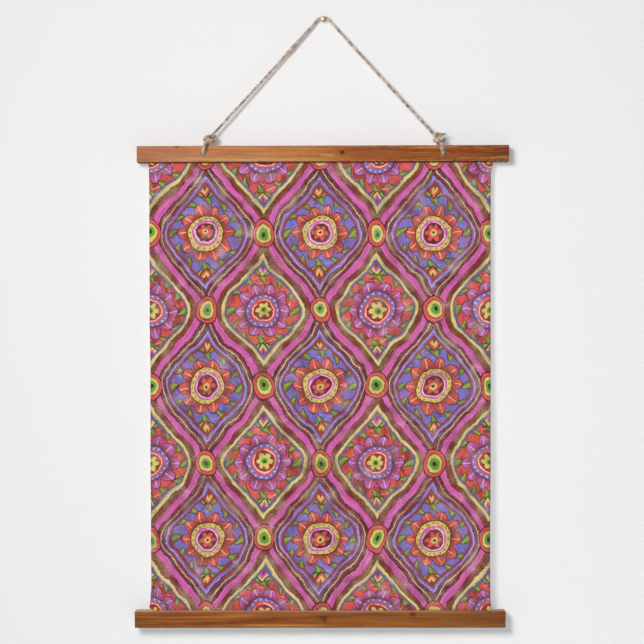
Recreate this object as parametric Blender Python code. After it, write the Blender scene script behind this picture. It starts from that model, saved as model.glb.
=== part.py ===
"""Printed cloth wall hanging, clamped between slatted wooden bars and hung by a jute rope over a nail.

Frame: metres, +Z up, +X to the right seen from the front, the front faces -Y.
The origin is where the nail's axis meets the wall, and the wall is the plane y = 0.
"""

import math
from collections import namedtuple

import bmesh
import bpy
from mathutils import Matrix, Vector

INCH = 0.0254

# Clearance between pieces that touch, and the distance under which points are one point
FIT_GAP = 0.0003
WELD = 1e-6

# Rope: three strands of jute, laid up with one full turn in each lay length
ROPE_D = 0.0052
ROPE_LAY = 0.020
STRANDS = 3
SIDES_PER_STRAND = 3
STRAND_VALLEY = 0.68
ROPE_RADIUS = ROPE_D / 2
ROPE_SEAT = ROPE_RADIUS + FIT_GAP

# Slats: four of the same section, two to each bar
SLAT_HEIGHT = 1.25 * INCH
SLAT_DEPTH = 0.375 * INCH
EASED_EDGE = 0.0012
EASED_STEPS = 2

# Cloth: one sheet, clamped a little way into both bars
CLOTH_THICKNESS = 0.0010
CLOTH_TUCK = 0.011
CLAMP_GAP = CLOTH_THICKNESS + 2 * FIT_GAP

# Depths: the rope passes behind the top bar and keeps it off the wall, and the hanging leans out below
TOP_BACK_FACE_Y = -(FIT_GAP + ROPE_D + FIT_GAP)
BOTTOM_LEAN = 0.0065
BAR_DEPTH = 2 * SLAT_DEPTH + CLAMP_GAP

# Bars: the middle of each one's back face, and how far its right end is raised
Bar = namedtuple("Bar", "length x back_y z tilt")
TOP_BAR = Bar(length=0.7145, x=0.0, back_y=TOP_BACK_FACE_Y, z=-0.2610, tilt=math.radians(0.18))
BOTTOM_BAR = Bar(
    length=0.7095,
    x=-0.0052,
    back_y=TOP_BACK_FACE_Y - BOTTOM_LEAN,
    z=-1.1528,
    tilt=math.radians(0.04),
)

# Rope holes through the top bar, five inches from its ends
HOLE_D = 0.0085
HOLE_TO_END = 0.1276
HOLE_SIDES = 24

# Nail
SHANK_D = 0.0028
HEAD_D = 0.0110
HEAD_RIM = 0.0007
HEAD_BACK_Y = -0.0109
HEAD_FRONT_Y = -0.0141
NAIL_STEPS = 24
DOME_STEPS = 5

# Standing rope: straight legs with a bend over the nail
NAIL_BEND_R = 0.0149
NAIL_BEND_X = 0.0010
NAIL_BEND_TOP_Z = SHANK_D / 2 + FIT_GAP + ROPE_RADIUS
ROPE_AT_NAIL_Y = -0.0075
LEG_SAG = 0.0007
LEG_PARTS = 6
NAIL_BEND_PARTS = 6

# Cloth edges: how far below the top bar's lower edge, and where both edges lie
Station = namedtuple("Station", "drop left right")
CLOTH_EDGES = (
    Station(drop=0.000, left=-0.3355, right=0.3268),
    Station(drop=0.026, left=-0.3346, right=0.3235),
    Station(drop=0.072, left=-0.3343, right=0.3229),
    Station(drop=0.303, left=-0.3333, right=0.3225),
    Station(drop=0.395, left=-0.3318, right=0.3224),
    Station(drop=0.534, left=-0.3314, right=0.3217),
    Station(drop=0.740, left=-0.3298, right=0.3205),
    Station(drop=0.810, left=-0.3291, right=0.3205),
    Station(drop=0.834, left=-0.3304, right=0.3206),
    Station(drop=0.860, left=-0.3330, right=0.3236),
)

# Ripples of the hanging cloth: depth, wavelength across, slant, and where along the drop they peak
Ripple = namedtuple("Ripple", "depth wavelength slant peak spread")
CLOTH_RIPPLES = (
    Ripple(depth=0.0014, wavelength=0.236, slant=0.16, peak=0.18, spread=0.30),
    Ripple(depth=0.0017, wavelength=0.310, slant=-0.22, peak=0.62, spread=0.34),
    Ripple(depth=0.0011, wavelength=0.145, slant=0.08, peak=0.93, spread=0.16),
)
RIPPLE_FADE = 0.035
CLOTH_COLUMNS = 18
CLOTH_ROWS = 30

# Knots: wraps of rope round their own standing part
Knot = namedtuple("Knot", "side centre axis_angle length radius wraps")
LEFT_KNOT = Knot(
    side=-1,
    centre=Vector((-0.2172, -0.0192, -0.2334)),
    axis_angle=math.radians(12),
    length=0.026,
    radius=0.0092,
    wraps=4,
)
RIGHT_KNOT = Knot(
    side=1,
    centre=Vector((0.2226, -0.0190, -0.2301)),
    axis_angle=math.radians(55),
    length=0.0235,
    radius=0.0096,
    wraps=3.5,
)
KNOT_RINGS = 26
KNOT_SIDES = 20
KNOT_END_POWER = 2.6

# Rope loops: how far past a seat the rope swings clear before it turns, and how high above the bar
LOOP_SWING = 0.0012
LOOP_HOLE_EASE = 0.0006
LOOP_OVER_BAR = 0.0052
LOOP_BEHIND_BAR = 0.0028

# Where the standing rope meets each knot's stub
LEFT_STUB = Vector((-0.2086, -0.0187, -0.2202))
RIGHT_STUB = Vector((0.2128, -0.0187, -0.2222))

# Rope steps in one turn of its strands: the loops have finer steps for their tight bends
STANDING_STEPS = 8
LOOP_STEPS = 16

# Samples of a smooth curve between two of its points, from which even steps are read
CURVE_SAMPLES = 24


def clear_scene():
    """Remove every object that the file opened with."""
    for existing in list(bpy.data.objects):
        bpy.data.objects.remove(existing, do_unlink=True)


def make_material(name, colour, roughness, metallic=0.0):
    """A Principled BSDF with one colour."""
    material = bpy.data.materials.new(name)
    material.use_nodes = True
    shader = material.node_tree.nodes["Principled BSDF"]
    shader.inputs["Base Color"].default_value = (*colour, 1.0)
    shader.inputs["Roughness"].default_value = roughness
    shader.inputs["Metallic"].default_value = metallic
    return material


def add_object(name, data, material=None):
    """Link new data into the scene under a name."""
    created = bpy.data.objects.new(name, data)
    bpy.context.scene.collection.objects.link(created)
    if material is not None:
        created.data.materials.append(material)
    return created


def add_helper(name, data):
    """Link a cutter or a guide, which is no piece of the hanging."""
    helper = add_object(name, data)
    helper.hide_render = True
    helper.display_type = "WIRE"
    return helper


def mesh_from(shape, name, smooth_angle=None):
    """Turn a bmesh into a mesh, with its faces pointing out."""
    bmesh.ops.recalc_face_normals(shape, faces=shape.faces)
    mesh = bpy.data.meshes.new(name)
    shape.to_mesh(mesh)
    shape.free()
    if smooth_angle is not None:
        mesh.shade_smooth()
        mesh.set_sharp_from_angle(angle=smooth_angle)
    return mesh


def add_boolean(target, operand, operation):
    """Cut or join an object with another one, by the exact solver."""
    boolean = target.modifiers.new(operation.title(), "BOOLEAN")
    boolean.object = operand
    boolean.operation = operation
    boolean.solver = "EXACT"


def slat_mesh(name, length):
    """One slat about its centre, with eased edges."""
    shape = bmesh.new()
    bmesh.ops.create_cube(shape, size=1.0)
    bmesh.ops.scale(shape, vec=(length, SLAT_DEPTH, SLAT_HEIGHT), verts=shape.verts)
    bmesh.ops.bevel(
        shape,
        geom=list(shape.edges),
        offset=EASED_EDGE,
        segments=EASED_STEPS,
        profile=0.5,
        affect="EDGES",
        material=-1,
    )
    return mesh_from(shape, name)


def hole_cutter(name, centre):
    """A cylinder along Y that runs past both faces of the bar."""
    shape = bmesh.new()
    bmesh.ops.create_cone(
        shape,
        cap_ends=True,
        segments=HOLE_SIDES,
        radius1=HOLE_D / 2,
        radius2=HOLE_D / 2,
        depth=2 * BAR_DEPTH,
    )
    bmesh.ops.rotate(shape, matrix=Matrix.Rotation(math.pi / 2, 3, "X"), verts=shape.verts)
    cutter = add_helper(name, mesh_from(shape, name))
    cutter.location = centre
    return cutter


def make_slat(name, length, centre, tilt, material, cutters=()):
    """A slat at its place, with its right end raised by the tilt."""
    slat = add_object(name, slat_mesh(name, length), material)
    slat.location = centre
    slat.rotation_euler = (0.0, -tilt, 0.0)
    for cutter in cutters:
        add_boolean(slat, cutter, "DIFFERENCE")
    return slat


def make_bar(word, bar, wood, cutters=()):
    """A bar: a back slat and a front slat, with the cloth's gap between them."""
    back_centre = (bar.x, bar.back_y - SLAT_DEPTH / 2, bar.z)
    front_centre = (bar.x, bar.back_y - BAR_DEPTH + SLAT_DEPTH / 2, bar.z)
    make_slat(f"{word}_back_slat", bar.length, back_centre, bar.tilt, wood, cutters)
    make_slat(f"{word}_front_slat", bar.length, front_centre, bar.tilt, wood, cutters)


def hole_place(side):
    """Where a rope hole's axis crosses the top bar's centre line: x and z."""
    offset = side * (TOP_BAR.length / 2 - HOLE_TO_END)
    return (
        TOP_BAR.x + offset * math.cos(TOP_BAR.tilt),
        TOP_BAR.z + offset * math.sin(TOP_BAR.tilt),
    )


def make_top_bar(wood):
    """The top bar, with a hole for the rope near each end."""
    cutters = []
    for word, side in (("left", -1), ("right", 1)):
        hole_x, hole_z = hole_place(side)
        middle_y = TOP_BAR.back_y - BAR_DEPTH / 2
        cutters.append(hole_cutter(f"hole_cutter_{word}", (hole_x, middle_y, hole_z)))
    make_bar("top", TOP_BAR, wood, cutters)


def clamp_y(bar):
    """The middle of the gap between a bar's slats."""
    return bar.back_y - BAR_DEPTH / 2


def bar_edge_z(bar, x, side):
    """The height of a bar's upper (side 1) or lower (side -1) edge at x."""
    return bar.z + side * SLAT_HEIGHT / 2 + math.tan(bar.tilt) * (x - bar.x)


def ease(value):
    """A smooth step from 0 to 1."""
    value = min(max(value, 0.0), 1.0)
    return value * value * (3 - 2 * value)


def cloth_edge(drop, which):
    """The left or right edge at a drop below the top bar, between the stations around it."""
    previous = CLOTH_EDGES[0]
    for station in CLOTH_EDGES:
        if station.drop >= drop:
            span = station.drop - previous.drop
            share = ease((drop - previous.drop) / span) if span > 0 else 0.0
            start = getattr(previous, which)
            return start + (getattr(station, which) - start) * share
        previous = station
    return getattr(CLOTH_EDGES[-1], which)


def ripple_depth(x, share, drop, rise):
    """How far the cloth stands off its plane, fading to nothing at both clamps."""
    fade = ease(drop / RIPPLE_FADE) * ease(rise / RIPPLE_FADE)
    total = 0.0
    for ripple in CLOTH_RIPPLES:
        swell = math.exp(-(((share - ripple.peak) / ripple.spread) ** 2))
        phase = 2 * math.pi * (x + ripple.slant * drop) / ripple.wavelength
        total += ripple.depth * swell * math.sin(phase)
    return fade * total


def cloth_point(across, row_kind, share):
    """A point of the cloth's middle surface.

    across runs from 0 at the left edge to 1 at the right one. The kind of row says whether it lies
    in the top clamp, in the open, or in the bottom clamp, and share is the way down within it.
    """
    full_drop = CLOTH_EDGES[-1].drop
    drop = {"top": 0.0, "open": share * full_drop, "bottom": full_drop}[row_kind]
    left = cloth_edge(drop, "left")
    right = cloth_edge(drop, "right")
    x = left + (right - left) * across
    top_z = bar_edge_z(TOP_BAR, x, -1)
    bottom_z = bar_edge_z(BOTTOM_BAR, x, 1)
    if row_kind == "top":
        return Vector((x, clamp_y(TOP_BAR), top_z + CLOTH_TUCK * (1 - share)))
    if row_kind == "bottom":
        return Vector((x, clamp_y(BOTTOM_BAR), bottom_z - CLOTH_TUCK * share))
    z = top_z + (bottom_z - top_z) * share
    plane_y = clamp_y(TOP_BAR) + (clamp_y(BOTTOM_BAR) - clamp_y(TOP_BAR)) * share
    stand_off = ripple_depth(x, share, top_z - z, z - bottom_z)
    return Vector((x, plane_y - stand_off, z))


def make_cloth(material):
    """One sheet: a tucked strip, the open panel with its pulled-in waist, and a tucked strip."""
    rows = [("top", 0.0)]
    rows += [("open", step / CLOTH_ROWS) for step in range(CLOTH_ROWS + 1)]
    rows += [("bottom", 1.0)]
    shape = bmesh.new()
    bmesh.ops.create_grid(shape, x_segments=CLOTH_COLUMNS, y_segments=len(rows) - 1, size=0.5)
    for vert in shape.verts:
        kind, share = rows[round((0.5 - vert.co.y) * (len(rows) - 1))]
        vert.co = cloth_point(vert.co.x + 0.5, kind, share)
    mesh = mesh_from(shape, "cloth", smooth_angle=math.radians(40))
    cloth = add_object("cloth", mesh, material)
    thicken = cloth.modifiers.new("Thickness", "SOLIDIFY")
    thicken.thickness = CLOTH_THICKNESS
    thicken.offset = 0.0
    return cloth


def make_nail(material):
    """Shank and domed head, turned about the Y axis. It ends at the wall's face."""
    head_radius = HEAD_D / 2
    dome_height = abs(HEAD_FRONT_Y - HEAD_BACK_Y) - HEAD_RIM
    profile = [(0.0, 0.0), (SHANK_D / 2, 0.0), (SHANK_D / 2, HEAD_BACK_Y), (head_radius, HEAD_BACK_Y)]
    for step in range(DOME_STEPS + 1):
        angle = math.pi / 2 * step / DOME_STEPS
        profile.append((
            head_radius * math.cos(angle),
            HEAD_BACK_Y - HEAD_RIM - dome_height * math.sin(angle),
        ))
    shape = bmesh.new()
    verts = [shape.verts.new((radius, y, 0.0)) for radius, y in profile]
    edges = [shape.edges.new(pair) for pair in zip(verts, verts[1:])]
    bmesh.ops.spin(
        shape,
        geom=verts + edges,
        cent=(0, 0, 0),
        axis=(0, 1, 0),
        angle=2 * math.pi,
        steps=NAIL_STEPS,
        use_merge=True,
    )
    bmesh.ops.remove_doubles(shape, verts=shape.verts, dist=WELD)
    return add_object("nail", mesh_from(shape, "nail", smooth_angle=math.radians(35)), material)


def spline_point(before, start, end, after, share):
    """A point of the Catmull-Rom curve between start and end."""
    return 0.5 * (
        2 * start
        + (end - before) * share
        + (2 * before - 5 * start + 4 * end - after) * share ** 2
        + (3 * start - before - 3 * end + after) * share ** 3
    )


def smooth_route(points, step):
    """Points a step apart along the smooth curve through the given ones."""
    fine = []
    padded = [2 * points[0] - points[1], *points, 2 * points[-1] - points[-2]]
    for before, start, end, after in zip(padded, padded[1:], padded[2:], padded[3:]):
        for sample in range(CURVE_SAMPLES):
            fine.append(spline_point(before, start, end, after, sample / CURVE_SAMPLES))
    fine.append(points[-1])
    lengths = [0.0]
    for start, end in zip(fine, fine[1:]):
        lengths.append(lengths[-1] + (end - start).length)
    count = max(2, round(lengths[-1] / step))
    route = []
    index = 0
    for part in range(count + 1):
        target = lengths[-1] * part / count
        while index < len(fine) - 2 and lengths[index + 1] < target:
            index += 1
        span = lengths[index + 1] - lengths[index]
        share = (target - lengths[index]) / span if span > 0 else 0.0
        route.append(fine[index].lerp(fine[index + 1], min(share, 1.0)))
    return route


def strand_profile():
    """The rope's cross-section: one lobe for each strand, as a closed flat curve."""
    sides = STRANDS * SIDES_PER_STRAND
    outline = bpy.data.curves.new("strand_profile", "CURVE")
    outline.dimensions = "2D"
    spline = outline.splines.new("POLY")
    spline.points.add(sides - 1)
    for index, point in enumerate(spline.points):
        angle = -2 * math.pi * index / sides
        radius = ROPE_RADIUS * (STRAND_VALLEY if index % SIDES_PER_STRAND == 0 else 1.0)
        point.co = (radius * math.cos(angle), radius * math.sin(angle), 0.0, 1.0)
    spline.use_cyclic_u = True
    return add_helper("strand_profile", outline)


def rope_curve(name, route, step, profile):
    """A curve along the route whose lobed profile turns once in each lay length."""
    curve = bpy.data.curves.new(name, "CURVE")
    curve.dimensions = "3D"
    curve.twist_mode = "MINIMUM"
    curve.bevel_mode = "OBJECT"
    curve.bevel_object = profile
    curve.use_fill_caps = True
    spline = curve.splines.new("POLY")
    spline.points.add(len(route) - 1)
    for index, (point, place) in enumerate(zip(spline.points, route)):
        point.co = (*place, 1.0)
        point.tilt = -2 * math.pi * index * step / ROPE_LAY
    spline.use_smooth = True
    return curve


def nail_bend_point(angle):
    """A point of the rope's bend over the nail, at an angle from +X."""
    return Vector((
        NAIL_BEND_X + NAIL_BEND_R * math.cos(angle),
        ROPE_AT_NAIL_Y,
        NAIL_BEND_TOP_Z - NAIL_BEND_R + NAIL_BEND_R * math.sin(angle),
    ))


def touch_angle(stub, side):
    """Where on the bend the straight leg from a stub touches it, as an angle from +X."""
    across = side * (stub.x - NAIL_BEND_X)
    up = stub.z - (NAIL_BEND_TOP_Z - NAIL_BEND_R)
    lift = math.atan2(up, across) + math.acos(NAIL_BEND_R / math.hypot(across, up))
    return lift if side > 0 else math.pi - lift


def leg_route(stub, touch):
    """A leg of the rope from its stub to the bend, with its slight sag, without the last point."""
    start = stub + (touch - stub).normalized() * FIT_GAP
    leg = []
    for part in range(LEG_PARTS):
        share = part / LEG_PARTS
        sag = 4 * LEG_SAG * share * (1 - share)
        leg.append(start.lerp(touch, share) - Vector((0.0, 0.0, sag)))
    return leg


def standing_route():
    """The rope from the left knot's stub over the nail to the right knot's stub."""
    left_angle = touch_angle(LEFT_STUB, -1)
    right_angle = touch_angle(RIGHT_STUB, 1)
    left_leg = leg_route(LEFT_STUB, nail_bend_point(left_angle))
    right_leg = leg_route(RIGHT_STUB, nail_bend_point(right_angle))
    bend = []
    for part in range(NAIL_BEND_PARTS + 1):
        share = part / NAIL_BEND_PARTS
        bend.append(nail_bend_point(left_angle + (right_angle - left_angle) * share))
    return left_leg + bend + right_leg[::-1]


def make_rope(profile, material):
    """The stretch over the nail, from knot to knot."""
    step = ROPE_LAY / STANDING_STEPS
    route = smooth_route(standing_route(), step)
    return add_object("rope", rope_curve("rope", route, step, profile), material)


def loop_route(knot, stub):
    """From the stub through the knot, down the bar's front, through its hole and up its back.

    The points are chosen by hand round the bar's faces and the hole's upper edge.
    """
    hole_x, hole_z = hole_place(knot.side)
    hole_top = hole_z + HOLE_D / 2
    bar_top = hole_z + SLAT_HEIGHT / 2
    front_face = TOP_BAR.back_y - BAR_DEPTH
    front_y = front_face - ROPE_SEAT
    back_face = TOP_BAR.back_y
    back_y = back_face + ROPE_SEAT
    corner = ROPE_SEAT * math.sqrt(0.5)
    through_z = hole_top - ROPE_SEAT
    leave_x = knot.centre.x + (hole_x - knot.centre.x) * 0.75
    toward_hole = hole_x - leave_x
    inward = -knot.side
    return [
        stub,
        knot.centre + (stub - knot.centre) * 0.45,
        knot.centre + Vector((0.0, -LOOP_SWING, -0.0008)),
        Vector((leave_x, front_face + LOOP_SWING, bar_top + LOOP_OVER_BAR)),
        Vector((leave_x + toward_hole * 0.3, front_y - FIT_GAP, bar_top - 0.0005)),
        Vector((leave_x + toward_hole * 0.7, front_y, hole_top + 0.0045)),
        Vector((hole_x, front_y, hole_top + LOOP_HOLE_EASE)),
        Vector((hole_x, front_face - corner, hole_top - corner)),
        Vector((hole_x, front_face + LOOP_HOLE_EASE, through_z)),
        Vector((hole_x, clamp_y(TOP_BAR), through_z)),
        Vector((hole_x, back_face - LOOP_HOLE_EASE, through_z)),
        Vector((hole_x, back_face + corner, hole_top - corner)),
        Vector((hole_x, back_y, hole_top + LOOP_HOLE_EASE)),
        Vector((leave_x + toward_hole * 0.6, back_y, hole_top + 0.0050)),
        Vector((leave_x, back_y, bar_top - LOOP_SWING)),
        Vector((leave_x + inward * 0.0010, back_y - 0.0010, bar_top + LOOP_BEHIND_BAR)),
        Vector((leave_x + inward * 0.0025, back_y - 0.0042, bar_top + 2 * LOOP_BEHIND_BAR)),
        knot.centre + Vector((0.0, 0.0062, -0.0030)),
    ]


def knot_mesh(name, knot):
    """The wraps: a turned body whose surface rises in one round ridge for each pass of rope."""
    half = knot.length / 2
    groove_radius = knot.radius - ROPE_RADIUS
    pitch = knot.length / knot.wraps
    drum_radius = 1.0
    shape = bmesh.new()
    verts = []
    for ring in range(KNOT_RINGS + 1):
        along = -half + knot.length * ring / KNOT_RINGS
        verts.append(shape.verts.new((along, drum_radius if 0 < ring < KNOT_RINGS else 0.0, 0.0)))
    edges = [shape.edges.new(pair) for pair in zip(verts, verts[1:])]
    bmesh.ops.spin(
        shape,
        geom=verts + edges,
        cent=(0, 0, 0),
        axis=(1, 0, 0),
        angle=2 * math.pi,
        steps=KNOT_SIDES,
        use_merge=True,
    )
    bmesh.ops.remove_doubles(shape, verts=shape.verts, dist=WELD)
    for vert in shape.verts:
        if math.hypot(vert.co.y, vert.co.z) < drum_radius / 2:
            continue
        angle = math.atan2(vert.co.z, vert.co.y)
        past_ridge = (vert.co.x + pitch * angle / (2 * math.pi)) % pitch - pitch / 2
        ridge = math.sqrt(max(0.0, ROPE_RADIUS ** 2 - past_ridge ** 2))
        envelope = (1 - abs(vert.co.x / half) ** KNOT_END_POWER) ** (1 / KNOT_END_POWER)
        radius = (groove_radius + ridge) * envelope
        vert.co.y = radius * math.cos(angle)
        vert.co.z = radius * math.sin(angle)
    turn = Matrix.Rotation(-knot.axis_angle, 4, "Y")
    bmesh.ops.transform(shape, matrix=Matrix.Translation(knot.centre) @ turn, verts=shape.verts)
    return mesh_from(shape, name, smooth_angle=math.radians(50))


def make_knot(name, knot, stub, profile, material):
    """A rope end: its loop round the top of the bar, joined to the knot that closes it."""
    step = ROPE_LAY / LOOP_STEPS
    route = smooth_route(loop_route(knot, stub), step)
    guide = add_helper(f"{name}_loop_curve", rope_curve(f"{name}_loop_curve", route, step, profile))
    depsgraph = bpy.context.evaluated_depsgraph_get()
    drawn = bpy.data.meshes.new_from_object(guide.evaluated_get(depsgraph))
    shape = bmesh.new()
    shape.from_mesh(drawn)
    bmesh.ops.remove_doubles(shape, verts=shape.verts, dist=WELD)
    loop = add_helper(f"{name}_loop", mesh_from(shape, f"{name}_loop"))
    bpy.data.meshes.remove(drawn)
    body = add_object(name, knot_mesh(name, knot), material)
    add_boolean(body, loop, "UNION")
    return body


def main():
    """Build the hanging piece by piece."""
    clear_scene()
    top_wood = make_material("top_bar_wood", (0.42, 0.20, 0.08), 0.55)
    bottom_wood = make_material("bottom_bar_wood", (0.28, 0.11, 0.035), 0.55)
    print_cloth = make_material("printed_cloth", (0.30, 0.16, 0.28), 0.9)
    jute = make_material("jute_rope", (0.42, 0.31, 0.20), 0.95)
    brass = make_material("brass_nail", (0.80, 0.60, 0.30), 0.25, metallic=1.0)
    make_top_bar(top_wood)
    make_bar("bottom", BOTTOM_BAR, bottom_wood)
    make_cloth(print_cloth)
    make_nail(brass)
    profile = strand_profile()
    make_rope(profile, jute)
    make_knot("knot_left", LEFT_KNOT, LEFT_STUB, profile, jute)
    make_knot("knot_right", RIGHT_KNOT, RIGHT_STUB, profile, jute)


main()
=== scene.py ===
"""Looks of a printed cloth wall hanging, clamped between wooden bars and hung by a rope over a nail.

Frame: metres, +Z up, +X to the right seen from the front, the front faces -Y. The origin is where
the nail's axis meets the wall, and the wall is the plane y = 0.
"""

from __future__ import annotations

import logging
import math
import random
from dataclasses import dataclass
from enum import Enum
from typing import Callable, Iterable, NamedTuple, Sequence, Union

import bmesh
import bpy
from mathutils import Matrix, Vector, noise
from mathutils.kdtree import KDTree


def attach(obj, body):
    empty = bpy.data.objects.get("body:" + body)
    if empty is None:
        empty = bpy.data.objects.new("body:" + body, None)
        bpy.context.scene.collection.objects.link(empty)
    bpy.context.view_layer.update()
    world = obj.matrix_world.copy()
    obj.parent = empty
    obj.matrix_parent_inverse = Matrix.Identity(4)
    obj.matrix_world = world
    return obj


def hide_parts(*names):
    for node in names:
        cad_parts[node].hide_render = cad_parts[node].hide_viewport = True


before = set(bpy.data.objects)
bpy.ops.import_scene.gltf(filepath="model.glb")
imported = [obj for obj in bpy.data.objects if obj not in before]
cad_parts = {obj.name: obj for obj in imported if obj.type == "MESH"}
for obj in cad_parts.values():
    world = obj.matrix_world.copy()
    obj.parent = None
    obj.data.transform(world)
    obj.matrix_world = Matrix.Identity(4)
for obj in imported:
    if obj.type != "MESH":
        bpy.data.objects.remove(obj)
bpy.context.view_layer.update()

LOG = logging.getLogger("wall_hanging")
BODY = "root"

INCH = 0.0254
MILLIMETRE = 0.001
TURN = 2 * math.pi
FIT_GAP = 0.0003
WELD = 1e-6
NOISE_SEED = 7
CROWN = "crown"
NEAREST_Y = -0.0395
FARTHEST_Y = -0.0004
WHITE = (1.0, 1.0, 1.0, 1.0)

Colour = tuple[float, float, float, float]
Triple = tuple[float, float, float]


class Side(Enum):
    """Which end of the hanging a piece belongs to."""

    LEFT = -1
    RIGHT = 1


def shade(red: int, green: int, blue: int) -> Colour:
    """Turn a colour as a screen shows it, from 0 to 255, into the linear one that a shader takes."""
    levels = [level / 255 for level in (red, green, blue)]
    linear = [level / 12.92 if level <= 0.04045 else ((level + 0.055) / 1.055) ** 2.4 for level in levels]
    return (*linear, 1.0)


def ease(value: float) -> float:
    """Return a smooth step from 0 to 1."""
    value = min(max(value, 0.0), 1.0)
    return value * value * (3 - 2 * value)


class Field:
    """A number, vector or colour that changes over a surface, which sums can be made of."""

    def __init__(self, graph: Graph, socket: bpy.types.NodeSocket) -> None:
        """Keep the graph and the socket that gives the field."""
        self.graph = graph
        self.socket = socket

    def __add__(self, other: Term) -> Field:
        """Return the sum."""
        return self.graph.calc("ADD", self, other)

    def __sub__(self, other: Term) -> Field:
        """Return the difference."""
        return self.graph.calc("SUBTRACT", self, other)

    def __rsub__(self, other: Term) -> Field:
        """Return the difference from a number."""
        return self.graph.calc("SUBTRACT", other, self)

    def __mul__(self, other: Term) -> Field:
        """Return the product."""
        return self.graph.calc("MULTIPLY", self, other)

    def __truediv__(self, other: Term) -> Field:
        """Return the quotient."""
        return self.graph.calc("DIVIDE", self, other)

    __radd__ = __add__
    __rmul__ = __mul__

    def size(self) -> Field:
        """Return the value without its sign."""
        return self.graph.calc("ABSOLUTE", self)

    def cosine(self) -> Field:
        """Return the cosine of an angle."""
        return self.graph.calc("COSINE", self)

    def sine(self) -> Field:
        """Return the sine of an angle."""
        return self.graph.calc("SINE", self)


Term = Union[Field, float]


class Graph:
    """Short calls that add nodes to one node tree and link them."""

    def __init__(self, tree: bpy.types.NodeTree) -> None:
        """Keep the tree that the nodes go into."""
        self.tree = tree

    def feed(self, target: bpy.types.NodeSocket, source: object) -> None:
        """Link a field or a socket into a socket, or set the socket's own value."""
        if isinstance(source, Field):
            source = source.socket
        if isinstance(source, bpy.types.NodeSocket):
            self.tree.links.new(source, target)
        else:
            target.default_value = source

    def add(self, kind: str, *terms: object, **settings: object) -> bpy.types.Node:
        """Add a node.

        Args:
            kind: The node's type name.
            *terms: What its first inputs take, in their order.
            **settings: Its properties by name.

        Returns:
            The new node.
        """
        node = self.tree.nodes.new(kind)
        for name, value in settings.items():
            setattr(node, name, value)
        for socket, term in zip(node.inputs, terms):
            self.feed(socket, term)
        return node

    def read(self, kind: str, *terms: object, output: Union[int, str] = 0, **settings: object) -> Field:
        """Add a node as add does, and return one of its outputs."""
        return Field(self, self.add(kind, *terms, **settings).outputs[output])

    def calc(self, operation: str, *terms: Term) -> Field:
        """Return the result of a Math node on one to three terms."""
        return self.read("ShaderNodeMath", *terms, operation=operation)

    def vector(self, operation: str, *terms: object) -> Field:
        """Return the result of a Vector Math node on vectors."""
        return self.read("ShaderNodeVectorMath", *terms, operation=operation)

    def combine(self, x: Term, y: Term, z: Term = 0.0) -> Field:
        """Return a vector made of three numbers."""
        return self.read("ShaderNodeCombineXYZ", x, y, z)

    def split(self, vector: Field) -> tuple[Field, ...]:
        """Return the three numbers of a vector."""
        return tuple(Field(self, socket) for socket in self.add("ShaderNodeSeparateXYZ", vector).outputs)

    def reach(self, across: Field, up: Field) -> Field:
        """Return the length of a way across and up."""
        return self.calc("SQRT", across * across + up * up)

    def smooth(self, value: Field, low: float, high: float) -> Field:
        """Return a smooth step from 0 at low to 1 at high, which may lie below low."""
        ends = (high, low, 1.0, 0.0) if high < low else (low, high, 0.0, 1.0)
        return self.read("ShaderNodeMapRange", value, *ends, interpolation_type="SMOOTHSTEP")

    def below(self, value: Field, limit: Term, blur: float) -> Field:
        """Return 1 where the value is under the limit, with an edge as wide as the blur."""
        return self.smooth(value - limit, blur / 2, -blur / 2)

    def noise(self, vector: Field, scale: float, detail: float = 2.0, rough: float = 0.5) -> Field:
        """Return soft noise from 0 to 1, with its mean near a half."""
        return self.read("ShaderNodeTexNoise", vector, 0.0, scale, detail, rough)

    def stretched(self, vector: Field, scales: Triple, detail: float = 2.0, rough: float = 0.5) -> Field:
        """Return noise that has its own scale along each axis."""
        return self.noise(self.vector("MULTIPLY", vector, scales), 1.0, detail, rough)

    def strokes(self, across: Field, along: Field, fine: float = 260.0) -> Field:
        """Return brush streaks that run along a form: fine across it and slow along it."""
        return self.noise(self.combine(across * fine, along), 1.0, 2.0, 0.6)

    def wander(self, vector: Field, scale: float, reach: float) -> Field:
        """Return the vector moved about by noise, up to about half the reach each way."""
        colour = self.read("ShaderNodeTexNoise", vector, 0.0, scale, 1.0, output="Color")
        centred = self.vector("SUBTRACT", colour, (0.5, 0.5, 0.5))
        return self.vector("ADD", vector, self.vector("MULTIPLY", centred, (reach, reach, reach)))

    def mix(self, share: Term, first: object, second: object) -> Field:
        """Return one colour laid over another by a share from 0 to 1."""
        node = self.add("ShaderNodeMix", share, data_type="RGBA", clamp_factor=True)
        self.feed(node.inputs[6], first)
        self.feed(node.inputs[7], second)
        return Field(self, node.outputs[2])

    def ramp(self, position: Field, stops: Sequence[tuple[float, Colour]]) -> Field:
        """Return the colour at a position between stops."""
        node = self.add("ShaderNodeValToRGB", position)
        band = node.color_ramp
        while len(band.elements) < len(stops):
            band.elements.new(0.5)
        for element, (place, colour) in zip(band.elements, stops):
            element.position = place
            element.color = colour
        return Field(self, node.outputs[0])

    def place(self, effect: Effect, **given: object) -> dict[str, Field]:
        """Place a shared effect with values or fields by input name, and return its outputs by name."""
        node = self.add("ShaderNodeGroup", node_tree=effect.tree())
        for name, value in given.items():
            self.feed(node.inputs[name], value)
        return {socket.name: Field(self, socket) for socket in node.outputs}


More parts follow.
